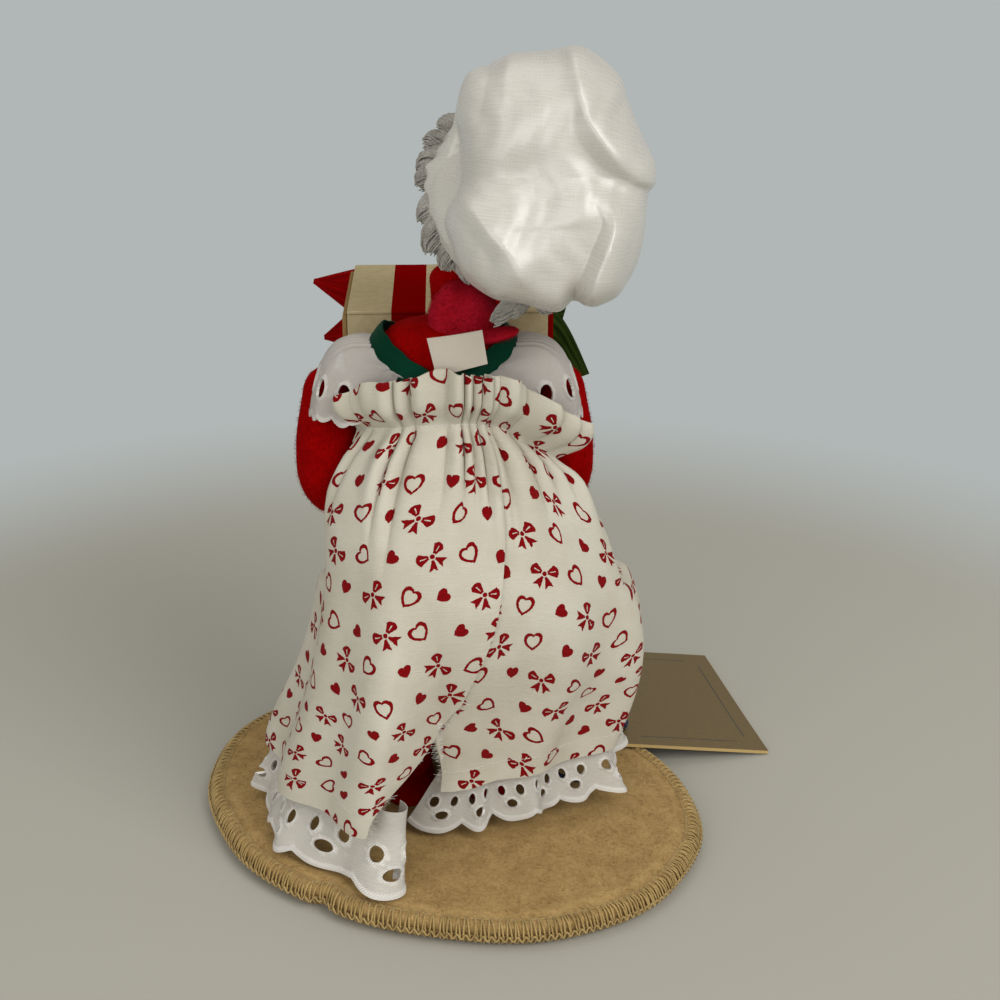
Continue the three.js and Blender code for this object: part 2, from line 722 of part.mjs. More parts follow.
function capBody(grow) {
  const sides = 26;
  const rings = CAP_LEVELS.map(([rise, wide]) => Array.from({ length: sides }, (_, j) => {
    const turn = (j / sides) * 2 * Math.PI;
    const lobe = 1 + 0.035 * Math.sin(Math.PI * Math.max(rise, 0)) * Math.cos(6 * turn);
    const radius = CAP_R * wide * lobe + grow;
    const push = grow * (rise > 0.9 ? 1 : rise < 0 ? -1 : 0);
    return vec(radius * Math.cos(turn), 1.13 * radius * Math.sin(turn), rise * CAP_H + push);
  }));
  const shifted = loft(rings).translate(CAP_SHIFT.x, CAP_SHIFT.y, CAP_SHIFT.z);
  return shifted.rotateX(-rad(CAP_TILT));
}

// Hair: a lumpy ring of locks round the head, just in front of the cap
function hairLocks() {
  const steps = LOCKS * 3;
  const sides = 6;
  const rings = Array.from({ length: steps }, (_, i) => {
    const turn = (i / steps) * 2 * Math.PI;
    const thick = LOCK_R * (1 + 0.16 * Math.cos(LOCKS * turn));
    return Array.from({ length: sides }, (__, j) => {
      const roll = (j / sides) * 2 * Math.PI;
      const out = HEAD_R + 0.1 * LOCK_R + thick * Math.cos(roll);
      return vec(out * Math.cos(turn), out * Math.sin(turn), -0.28 * HEAD_R + 1.3 * thick * Math.sin(roll));
    });
  });
  return loopBody(rings).rotateX(-rad(CAP_TILT));
}

// Label sewn in at the back of the neck
function makeLabel(doll) {
  const face = (u, v) => {
    const angle = mix(104, 76, u);
    const at = neckline(angle, TAPE_T + LABEL_T / 2 + FIT);
    return vec(at.x - 3, at.y, TORSO_Z + TORSO_H - 9.6 + 10 * (1 - v));
  };
  place(doll, "sewn_label", sheet(face, 4, 2, LABEL_T), MATERIALS.label);
}

// Hang tag lying over the rim of the base, tied to the right ankle
function makeTag(doll) {
  const tag = new THREE.Group();
  tag.name = "tag_group";
  tag.position.copy(TAG_AT);
  tag.rotation.set(0, rad(TAG_SLOPE), rad(TAG_YAW), "ZYX");
  doll.add(tag);
  const hole = vec(-TAG_HOLE, -8, CARD + FIT + 0.8 * KNOT_R);
  const outline = new THREE.Shape([[0, 0], [-TAG_W, 0], [-TAG_W, -TAG_L], [0, -TAG_L]].map(
    ([x, y]) => new THREE.Vector2(x, y)));
  outline.holes.push(new THREE.Path().absarc(hole.x, hole.y, 1.3, 0, 2 * Math.PI, true));
  const card = new THREE.ExtrudeGeometry(outline, { depth: CARD, bevelEnabled: false, curveSegments: 8 });
  place(tag, "hang_tag", card, MATERIALS.kraft);
  place(tag, "tag_knot", ball(hole, KNOT_R, KNOT_R, 0.8 * KNOT_R, 10, 8), MATERIALS.navy);
  tag.updateMatrix();
  const tie = vec(CARD + FIT + CORD_R, hole.y, CARD / 2).applyMatrix4(tag.matrix);
  place(doll, "tag_cord", tagCord(tie), MATERIALS.navy);
}

function tagCord(tie) {
  const ring = ANKLE_R + 2 * FIT + CORD_R + 0.5;
  const loopZ = FOOT_Z + FOOT_H + CORD_R + 1.6;
  const floor = BASE_TOP + FIT + CORD_R;
  const loop = [-20, 40, 100, 160, 220, 270].map((angle) => vec(
    -LEG_X + ring * Math.cos(rad(angle)), LEG_Y + ring * Math.sin(rad(angle)), loopZ + angle * 0.004));
  const away = [
    vec(-LEG_X - 9, LEG_Y - 6.5, loopZ - 1), vec(-LEG_X - 15, LEG_Y - 5, floor + 3),
    vec(-LEG_X - 22, LEG_Y - 4, floor), vec(tie.x + 4, tie.y + 20, floor),
    vec(tie.x + 2.2, tie.y + 10, floor + 0.6), vec(tie.x + 2.4, tie.y + 2.5, tie.z - 0.6), tie,
  ];
  return strand([...loop, ...away], CORD_R, 44);
}

const doll = new THREE.Group();
doll.name = "felt_christmas_doll";
makeBase(doll);
makeLegs(doll);
makeTorso(doll);
makeSkirt(doll);
makeCollar(doll);
makeLabel(doll);
makeArm(doll, "left", 1);
makeArm(doll, "right", -1);
makeGift(doll);
makeHead(doll);
makeTag(doll);

export default doll;
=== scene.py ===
"""Dresses the felt Christmas doll: stuffed felt, printed skirt, lace, puffed cap, hair, gift and tag."""

import logging
import math
from dataclasses import dataclass, replace
from enum import Enum
from typing import Callable, Dict, List, Optional, Sequence, Tuple, Union

import bmesh
import bpy
import numpy as np
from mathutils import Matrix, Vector


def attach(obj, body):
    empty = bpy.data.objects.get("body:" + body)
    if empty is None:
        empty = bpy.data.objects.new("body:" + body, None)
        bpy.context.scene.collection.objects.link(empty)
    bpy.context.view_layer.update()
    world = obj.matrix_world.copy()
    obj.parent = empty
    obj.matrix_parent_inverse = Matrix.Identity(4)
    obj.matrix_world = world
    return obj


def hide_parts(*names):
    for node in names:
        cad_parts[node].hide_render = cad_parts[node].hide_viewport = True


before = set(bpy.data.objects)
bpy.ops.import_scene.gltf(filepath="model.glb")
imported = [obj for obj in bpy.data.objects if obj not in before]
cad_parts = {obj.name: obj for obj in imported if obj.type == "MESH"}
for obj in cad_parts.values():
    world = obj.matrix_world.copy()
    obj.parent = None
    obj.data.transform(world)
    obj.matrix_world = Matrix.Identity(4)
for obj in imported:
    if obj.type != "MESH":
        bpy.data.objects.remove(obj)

LOG = logging.getLogger("doll")
MM = 0.001
UV_MM = 100.0
SIM_SCALE = 20.0
SIM_FRAMES = 16
SIM_QUALITY = 6
SIM_BENDING = 0.6
CURVE_STEPS = 24
WELD = 1e-7
SHARP = math.radians(50)
GAUZE_SHARE = 0.25
TAU = 2 * math.pi

Array = np.ndarray
Points = np.ndarray
Piece = bpy.types.Object
Pair = Tuple[float, float]
Pairs = Tuple[Pair, ...]
Triple = Tuple[float, float, float]
Row = Tuple[float, ...]
Surface = Callable[[Array, Array], Points]
Value = Union["Sock", float]
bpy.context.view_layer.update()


class Body(Enum):
    """The doll's moving bodies."""

    BASE = "base"
    TORSO = "torso"
    NECK = "neck"
    HEAD = "head"
    LEFT_ARM = "left_arm"
    RIGHT_ARM = "right_arm"
    TAG = "tag"


class Slot(Enum):
    """The record's material slots."""

    TAN_FELT = "tan_felt"
    BOARD = "board"
    THREAD = "thread"
    RED_FELT = "red_felt"
    RASPBERRY_FELT = "raspberry_felt"
    SKIN_FELT = "skin_felt"
    WHITE_COTTON = "white_cotton"
    EYELET_LACE = "eyelet_lace"
    PRINT_COTTON = "print_cotton"
    WHITE_ROVING = "white_roving"
    GREEN_TAPE = "green_tape"
    LABEL = "label"
    GIFT_CARD = "gift_card"
    RED_RIBBON = "red_ribbon"
    GREEN_RIBBON = "green_ribbon"
    KRAFT_CARD = "kraft_card"
    NAVY_CORD = "navy_cord"
    WIRE = "wire"


# Numbers and vectors

def smooth(low: float, high: float, x: Array) -> Array:
    """A soft step from 0 at low to 1 at high."""
    t = np.clip((np.asarray(x, float) - low) / (high - low), 0, 1)
    return t * t * (3 - 2 * t)


def mix(a: Array, b: Array, t: Array) -> Array:
    """The point between a and b at t."""
    return a + (b - a) * t


def unit(v: Points) -> Points:
    """Vectors of length one."""
    return v / np.maximum(np.linalg.norm(v, axis=-1, keepdims=True), 1e-12)


def stack(x: Array, y: Array, z: Array) -> Points:
    """Points from three coordinates of any matching shapes."""
    return np.stack(np.broadcast_arrays(x, y, z), axis=-1).astype(float)


def hump(x: Array, middle: float, width: float) -> Array:
    """A soft bump of height one about a middle."""
    return np.exp(-((x - middle) / width) ** 2)


def turn_from(angle: Array, start: float) -> Array:
    """The turn from one direction to others, at most half a round either way."""
    return (angle - start + math.pi) % TAU - math.pi


def eased(x: Array, places: Sequence[float], values: Sequence[float], step: float,
          period: Optional[float] = None) -> Array:
    """A line through values, softened over two steps either way."""
    return sum(np.interp(x + k * step, places, values, period=period) for k in range(-2, 3)) / 5


def globe(turn: Array, part: Array) -> Points:
    """The unit ball over its turn and its rise from 0 to 1."""
    t = part * math.pi
    return stack(np.sin(t) * np.cos(turn), np.sin(t) * np.sin(turn), -np.cos(t))


def rounded(near: Array) -> Array:
    """The share of its full radius that a rounded end has, from 0 at its tip to 1."""
    return np.sqrt(1 - (1 - np.clip(near, 0, 1)) ** 2)


def hops(at: Points, axis: int = 0) -> Array:
    """The distances between neighbours along one axis of rows of points."""
    return np.linalg.norm(np.diff(at, axis=axis), axis=-1)


def lengths(at: Points, axis: int = 0) -> Array:
    """The way from the first point to each one along one axis of rows of points."""
    return np.insert(np.cumsum(hops(at, axis), axis), 0, 0.0, axis)


def linear(code: str) -> Row:
    """A colour as it is written on screen, as scene-linear numbers.

    Args:
        code: Six hex digits after a hash.

    Returns:
        Red, green, blue and a full alpha.
    """
    shown = [int(code[k:k + 2], 16) / 255 for k in (1, 3, 5)]
    lit = [c / 12.92 if c <= 0.04045 else ((c + 0.055) / 1.055) ** 2.4 for c in shown]
    return (*lit, 1.0)


def curve_points(knots: Sequence[Sequence[float]], count: int) -> Points:
    """A smooth line through knots, evenly sampled along its length.

    Args:
        knots: The points that the line passes through.
        count: How many samples to give back.

    Returns:
        The samples.
    """
    k = np.asarray(knots, float)
    ends = np.vstack([2 * k[0] - k[1], k, 2 * k[-1] - k[-2]])
    t = np.linspace(0, 1, CURVE_STEPS, endpoint=False)[:, None]
    fine = []
    for i in range(1, len(ends) - 2):
        p0, p1, p2, p3 = ends[i - 1:i + 3]
        fine.append(0.5 * (2 * p1 + (p2 - p0) * t + (2 * p0 - 5 * p1 + 4 * p2 - p3) * t ** 2
                           + (3 * p1 - p0 - 3 * p2 + p3) * t ** 3))
    line = np.vstack(fine + [k[-1:]])
    run = lengths(line)
    at = np.linspace(0, run[-1], count)
    return np.stack([np.interp(at, run, line[:, j]) for j in range(line.shape[1])], axis=1)


def frames_along(line: Points) -> Tuple[Points, Points, Points]:
    """Tangent, side and up vectors that turn steadily along a line."""
    tangent = unit(np.gradient(line, axis=0))
    side = np.zeros_like(line)
    first = np.cross(tangent[0], [0.0, 0.0, 1.0])
    side[0] = unit(first if np.linalg.norm(first) > 0.1 else np.cross(tangent[0], [1.0, 0.0, 0.0]))
    for i in range(1, len(line)):
        side[i] = unit(side[i - 1] - tangent[i] * (side[i - 1] @ tangent[i]))
    return tangent, side, np.cross(tangent, side)


# Meshes

def activate(obj: Piece) -> None:
    """Selects one piece alone and makes it active."""
    bpy.ops.object.select_all(action="DESELECT")
    obj.select_set(True)
    bpy.context.view_layer.objects.active = obj


def points_of(obj: Piece) -> Points:
    """A mesh's points in millimetres."""
    flat = np.zeros(len(obj.data.vertices) * 3, np.float32)
    obj.data.vertices.foreach_get("co", flat)
    return flat.reshape(-1, 3).astype(float) / MM


def move_points(obj: Piece, points: Points) -> None:
    """Puts a mesh's points, given in millimetres, in place."""
    obj.data.vertices.foreach_set("co", (points * MM).astype(np.float32).ravel())
    obj.data.update()


def corners_of(obj: Piece) -> Array:
    """The point at each corner of a mesh's faces."""
    corners = np.zeros(len(obj.data.loops), np.int32)
    obj.data.loops.foreach_get("vertex_index", corners)
    return corners


def set_corner_uv(obj: Piece, cloth: Points) -> None:
    """Writes each face corner's place on the flat cloth, in millimetres, as the piece's UV map."""
    layer = obj.data.uv_layers.active or obj.data.uv_layers.new(name="UVMap")
    layer.data.foreach_set("uv", (cloth / UV_MM).astype(np.float32).ravel())


def set_uv(obj: Piece, cloth: Points) -> None:
    """Writes each point's place on the flat cloth, in millimetres, as the piece's UV map."""
    set_corner_uv(obj, cloth[corners_of(obj), :2])


def named(obj: Piece, name: str) -> Piece:
    """Names a new piece and its mesh."""
    obj.name = name
    obj.data.name = name
    return obj


def mesh_from(name: str, points: Points, faces: Sequence[Sequence[int]]) -> Piece:
    """A piece straight from points in millimetres and faces."""
    data = bpy.data.meshes.new(name)
    data.from_pydata((points * MM).tolist(), [], faces)
    data.update()
    obj = bpy.data.objects.new(name, data)
    bpy.context.scene.collection.objects.link(obj)
    return obj


def grid(name: str, u_steps: int, v_steps: int, place: Surface) -> Tuple[Piece, Points]:
    """A sheet from a grid primitive that is laid on a surface.

    Args:
        name: The piece's name.
        u_steps: Faces along u.
        v_steps: Faces along v.
        place: The surface over u and v from 0 to 1, in millimetres.

    Returns:
        The piece, and u and v at each of its points.
    """
    bpy.ops.mesh.primitive_grid_add(x_subdivisions=u_steps, y_subdivisions=v_steps, size=1)
    obj = named(bpy.context.object, name)
    uv = points_of(obj)[:, :2] * MM + 0.5
    move_points(obj, place(uv[:, 0], uv[:, 1]))
    return obj, uv


def sampled(columns: int, rows: int, place: Surface) -> Points:
    """A surface at every crossing of a grid, by rows."""
    u, v = np.meshgrid(np.linspace(0, 1, columns + 1), np.linspace(0, 1, rows + 1))
    return place(u.ravel(), v.ravel()).reshape(rows + 1, columns + 1, 3)


def crossings(uv: Points, columns: int, rows: int) -> Tuple[Array, Array]:
    """The row and the column of each point of a grid."""
    return np.round(uv[:, 1] * rows).astype(int), np.round(uv[:, 0] * columns).astype(int)


def ball(name: str, around: int, rise: int, place: Surface) -> Piece:
    """A closed skin of rings between two poles, with its points in the same order on each run.

    Args:
        name: The piece's name.
        around: Faces round the axis.
        rise: Faces from pole to pole.
        place: The skin over its turn in radians and its rise from 0 to 1, in millimetres.

    Returns:
        The piece.
    """
    spin, climb = np.meshgrid(np.arange(around) / around, np.arange(1, rise) / rise)
    turn = ((spin.ravel() + 0.5) % 1 - 0.5) * TAU
    points = place(np.concatenate([[0.0], turn, [0.0]]), np.concatenate([[0.0], climb.ravel(), [1.0]]))
    ring = 1 + np.arange(spin.size).reshape(spin.shape)
    after = np.roll(ring, -1, axis=1)
    walls = np.stack([ring[:-1], after[:-1], after[1:], ring[1:]], axis=-1).reshape(-1, 4)
    foot = np.stack([after[0], ring[0], np.zeros(around, int)], axis=1)
    crown = np.stack([ring[-1], after[-1], np.full(around, spin.size + 1)], axis=1)
    return outward(mesh_from(name, points, walls.tolist() + foot.tolist() + crown.tolist()))


def sweep(name: str, line: Points, radius: Callable[[Array], Array], around: int, rise: int,
          flat: float = 1.0, end: float = 1.0) -> Piece:
    """A stuffed limb along a line, with rounded ends.

    Args:
        name: The piece's name.
        line: Its middle line in millimetres.
        radius: Its radius at a part of its length.
        around: Faces round it.
        rise: Faces along it.
        flat: How deep it is for its width.
        end: How long each rounded end is, in radii.

    Returns:
        The piece.
    """
    _, side, up = frames_along(line)
    long = float(hops(line).sum())
    k = np.arange(len(line))

    def place(turn: Array, part: Array) -> Points:
        """The limb's skin."""
        s = part * k[-1]
        at, a, b = (np.stack([np.interp(s, k, m[:, j]) for j in range(3)], 1) for m in (line, side, up))
        r = radius(part)
        r = r * rounded(np.minimum(part, 1 - part) * long / (end * np.maximum(r, 0.1)))
        return at + a * (r * np.cos(turn))[:, None] + b * (flat * r * np.sin(turn))[:, None]

    return ball(name, around, rise, place)


def edit(obj: Piece, *steps: Callable[[], object]) -> Piece:
    """Runs mesh operators on the whole of a piece."""
    activate(obj)
    bpy.ops.object.mode_set(mode="EDIT")
    bpy.ops.mesh.select_all(action="SELECT")
    for step in steps:
        step()
    bpy.ops.object.mode_set(mode="OBJECT")
    return obj


def outward(obj: Piece) -> Piece:
    """Merges doubles and turns every face of a closed skin outwards."""
    edit(obj, lambda: bpy.ops.mesh.remove_doubles(threshold=WELD),
         lambda: bpy.ops.mesh.normals_make_consistent(inside=False))
    bpy.ops.object.shade_smooth()
    return obj


def drop_faces(obj: Piece, gone: Sequence[bool]) -> None:
    """Cuts the marked faces out of a piece."""
    work = bmesh.new()
    work.from_mesh(obj.data)
    bmesh.ops.delete(work, geom=[face for face, out in zip(work.faces, gone) if out], context="FACES")
    work.to_mesh(obj.data)
    work.free()


def apply(obj: Piece, kind: str, **settings: object) -> Piece:
    """Adds one modifier with its settings and applies it."""
    activate(obj)
    made = obj.modifiers.new(kind.title(), kind)
    for key, value in settings.items():
        setattr(made, key, value)
    bpy.ops.object.modifier_apply(modifier=made.name)
    return obj


def thicken(obj: Piece, thickness: float, group: str = "") -> None:
    """Gives a sheet its thickness in millimetres, evenly about its surface."""
    extra = {"vertex_group": group, "thickness_vertex_group": GAUZE_SHARE} if group else {}
    apply(obj, "SOLIDIFY", thickness=thickness * MM, offset=0.0, use_even_offset=False, **extra)
    bpy.ops.object.shade_smooth_by_angle(angle=SHARP)


def block(name: str, low: Points, high: Points) -> Piece:
    """A plain block between two corners."""
    bpy.ops.mesh.primitive_cube_add(size=1)
    obj = named(bpy.context.object, name)
    move_points(obj, (points_of(obj) * MM + 0.5) * (high - low) + low)
    return obj


def bevelled(obj: Piece, width: float) -> Piece:
    """Softens a piece's edges."""
    return apply(obj, "BEVEL", width=width * MM, segments=2, limit_method="ANGLE")


def swell(obj: Piece, pressure: float, reach: float) -> None:
    """Fills a closed skin by a short cloth run without gravity.

    Args:
        obj: The skin.
        pressure: How hard the filling pushes.
        reach: How far a point may move, in millimetres.
    """
    start = points_of(obj)
    move_points(obj, start * SIM_SCALE)
    activate(obj)
    cloth = obj.modifiers.new("Filling", "CLOTH")
    cloth.settings.quality = SIM_QUALITY
    cloth.settings.use_pressure = True
    cloth.settings.uniform_pressure_force = pressure
    cloth.settings.effector_weights.gravity = 0
    cloth.settings.bending_stiffness = SIM_BENDING
    scene = bpy.context.scene
    for at in range(1, SIM_FRAMES + 1):
        scene.frame_set(at)
    bpy.ops.object.modifier_apply(modifier=cloth.name)
    scene.frame_set(1)
    moved = points_of(obj) / SIM_SCALE - start
    far = np.linalg.norm(moved, axis=1, keepdims=True)
    move_points(obj, start + moved * np.minimum(1, reach / np.maximum(far, 1e-9)))


def tubes(name: str, lines: Sequence[Points], radii: Sequence[Union[Array, float]], sides: int = 6) -> Piece:
    """Threads along lines, as bevelled curves made into one mesh.

    Args:
        name: The piece's name.
        lines: The threads' points in millimetres.
        radii: Each thread's radius, even or at its points, in millimetres.
        sides: Faces round a thread, 4 or 6 or 8.

    Returns:
        The piece.
    """
    data = bpy.data.curves.new(name, "CURVE")
    data.dimensions = "3D"
    data.bevel_depth = 1.0
    data.bevel_resolution = (sides - 4) // 2
    data.use_fill_caps = True
    for line, radius in zip(lines, radii):
        spline = data.splines.new("POLY")
        spline.points.add(len(line) - 1)
        four = np.concatenate([line * MM, np.ones((len(line), 1))], axis=1)
        spline.points.foreach_set("co", four.astype(np.float32).ravel())
        spline.points.foreach_set("radius", np.broadcast_to(radius * MM, len(line)).astype(np.float32))
    obj = bpy.data.objects.new(name, data)
    bpy.context.scene.collection.objects.link(obj)
    activate(obj)
    bpy.ops.object.convert(target="MESH")
    obj = named(bpy.context.object, name)
    bpy.ops.object.shade_smooth()
    return obj


@dataclass(frozen=True)
class Nap:
    """The loose fibres that stand on a felt's face, each a thin closed spike with a bend."""

    count: int
    length: float
    width: float
    lift: float
    seed: int
    sizes: Pair = (0.5, 1.3)
    lifts: Pair = (0.4, 1.5)
    middle_lift: float = 1.3
    tip_lift: float = 0.8
    sunk: float = 0.05
    taper: float = 0.8

    def grow(self, name: str, felt: Piece,
             keep: Optional[Callable[[Points, Points], Array]] = None) -> Piece:
        """Grows the fibres on a felt piece.

        Args:
            name: The new piece's name.
            felt: The piece that they grow on.
            keep: Tells from places and normals where fibres grow.

        Returns:
            The fibres as one piece.
        """
        rng = np.random.default_rng(self.seed)
        felt.data.calc_loop_triangles()
        index = np.zeros(len(felt.data.loop_triangles) * 3, np.int32)
        felt.data.loop_triangles.foreach_get("vertices", index)
        a, b, c = points_of(felt)[index.reshape(-1, 3)].transpose(1, 0, 2)
        cross = np.cross(b - a, c - a)
        area = np.linalg.norm(cross, axis=1)
        pick = rng.choice(len(area), self.count, p=area / area.sum())
        s, t = np.sqrt(rng.random((self.count, 1))), rng.random((self.count, 1))
        root = a[pick] * (1 - s) + b[pick] * s * (1 - t) + c[pick] * s * t
        normal = unit(cross[pick])
        if keep is not None:
            chosen = keep(root, normal)
            root, normal = root[chosen], normal[chosen]
        count = len(root)
        lay = rng.normal(size=(count, 3))
        lay = unit(lay - normal * (lay * normal).sum(1, keepdims=True))
        long = self.length * rng.uniform(*self.sizes, (count, 1))
        lift = self.lift * rng.uniform(*self.lifts, (count, 1))
        middle = root + long * 0.5 * (lay + normal * lift * self.middle_lift)
        tip = root + long * (lay + normal * lift * self.tip_lift)
        side = np.cross(normal, lay)
        ring = [side, normal * 0.5 - side * 0.6, -normal * 0.5 - side * 0.6]
        low = [root - normal * self.sunk + r * self.width for r in ring]
        mid = [middle + r * self.width * self.taper for r in ring]
        points = np.stack(low + mid + [tip], axis=1).reshape(-1, 3)
        one = np.array([[0, 2, 1], [0, 1, 4], [0, 4, 3], [1, 2, 5], [1, 5, 4], [2, 0, 3], [2, 3, 5],
                        [3, 4, 6], [4, 5, 6], [5, 3, 6]])
        faces = (one[None] + 7 * np.arange(count)[:, None, None]).reshape(-1, 3)
        return outward(mesh_from(name, points, faces.tolist()))


@dataclass
class PiercedSheet:
    """A flat sheet with oval holes, which is cut first and then laid on a surface."""

    name: str
    width: float
    length: float
    step: float
    rim_start: float = 1.3
    rim_end: float = 1.5
    edge_start: float = 0.45
    edge_rim: Pair = (1.5, 1.0)
    levels: int = 4

    @staticmethod
    def scallops(repeat: float, depth: float) -> Callable[[Array], Array]:
        """How far a scalloped edge draws back at a place along it."""
        return lambda x: depth * (1 - np.abs(np.sin(math.pi * x / repeat)) ** 0.8)

    def cut(self, holes: Sequence[Tuple[float, float, float, float]],
            edge: Optional[Callable[[Array], Array]] = None) -> Piece:
        """Cuts the flat sheet.

        Args:
            holes: Each hole's middle and its two radii.
            edge: How far the far edge draws back at a place along the width.

        Returns:
            The flat piece, with its rims in the attribute and the vertex group named stitch.
        """
        steps = round(self.width / self.step), round(self.length / self.step)
        obj, _ = grid(self.name, *steps, lambda u, v: stack(u * self.width, v * self.length, 0))
        flat = points_of(obj)
        if edge is not None:
            flat[:, 1] -= edge(flat[:, 0]) * smooth(self.edge_start * self.length, self.length, flat[:, 1])
        ovals = np.asarray(holes)

        def reach(p: Points) -> Tuple[Array, Array]:
            """The nearest hole and the distance to it in parts of its radius."""
            best, which = np.full(len(p), np.inf), np.zeros(len(p), int)
            for k, (cx, cy, rx, ry) in enumerate(ovals):
                e = np.hypot((p[:, 0] - cx) / rx, (p[:, 1] - cy) / ry)
                which[e < best] = k
                best = np.minimum(best, e)
            return best, which

        corners = np.array([list(f.vertices) for f in obj.data.polygons])
        gone = reach(flat[corners].mean(1))[0] < 1
        rim = np.intersect1d(corners[gone].ravel(), corners[~gone].ravel())
        far, which = reach(flat[rim])
        middle = ovals[which, :2]
        flat[rim, :2] = middle + (flat[rim, :2] - middle) / np.maximum(far, 0.05)[:, None]
        move_points(obj, flat)
        drop_faces(obj, gone)
        flat = points_of(obj)
        set_uv(obj, flat)
        stitched = 1 - smooth(self.rim_start, self.rim_end, reach(flat)[0])
        if edge is not None:
            inside = self.length - edge(flat[:, 0]) - flat[:, 1]
            stitched = np.maximum(stitched, smooth(*self.edge_rim, inside))
        mark = obj.data.attributes.new("stitch", "FLOAT", "POINT")
        mark.data.foreach_set("value", stitched.astype(np.float32))
        group = obj.vertex_groups.new(name="stitch")
        for level in range(1, self.levels + 1):
            chosen = np.nonzero(np.round(stitched * self.levels) == level)[0]
            group.add(chosen.tolist(), level / self.levels, "REPLACE")
        return obj

    @staticmethod
    def lay(obj: Piece, place: Surface) -> None:
        """Lays the cut sheet on a surface over its flat width and length."""
        flat = points_of(obj)
        move_points(obj, place(flat[:, 0], flat[:, 1]))


# Shader maths

class Sock:
    """One output of a shader node, for use in Python arithmetic."""

    def __init__(self, graph: "Graph", out: bpy.types.NodeSocket) -> None:
        """Keeps the output and the graph that it belongs to."""
        self.graph = graph
        self.out = out

    def __add__(self, other: Value) -> "Sock":
        """Sum."""
        return self.graph.math("ADD", self, other)

    def __sub__(self, other: Value) -> "Sock":
        """Difference."""
        return self.graph.math("SUBTRACT", self, other)

    def __rsub__(self, other: Value) -> "Sock":
        """Difference from a number."""
        return self.graph.math("SUBTRACT", other, self)

    def __mul__(self, other: Value) -> "Sock":
        """Product."""
        return self.graph.math("MULTIPLY", self, other)

    def __mod__(self, other: Value) -> "Sock":
        """Remainder that is never negative."""
        return self.graph.math("FLOORED_MODULO", self, other)

    def __lt__(self, other: Value) -> "Sock":
        """One where it is smaller."""
        return self.graph.math("LESS_THAN", self, other)

    def __gt__(self, other: Value) -> "Sock":
        """One where it is larger."""
        return self.graph.math("GREATER_THAN", self, other)

    def __abs__(self) -> "Sock":
        """Size without sign."""
        return self.graph.math("ABSOLUTE", self)

    __radd__ = __add__
    __rmul__ = __mul__


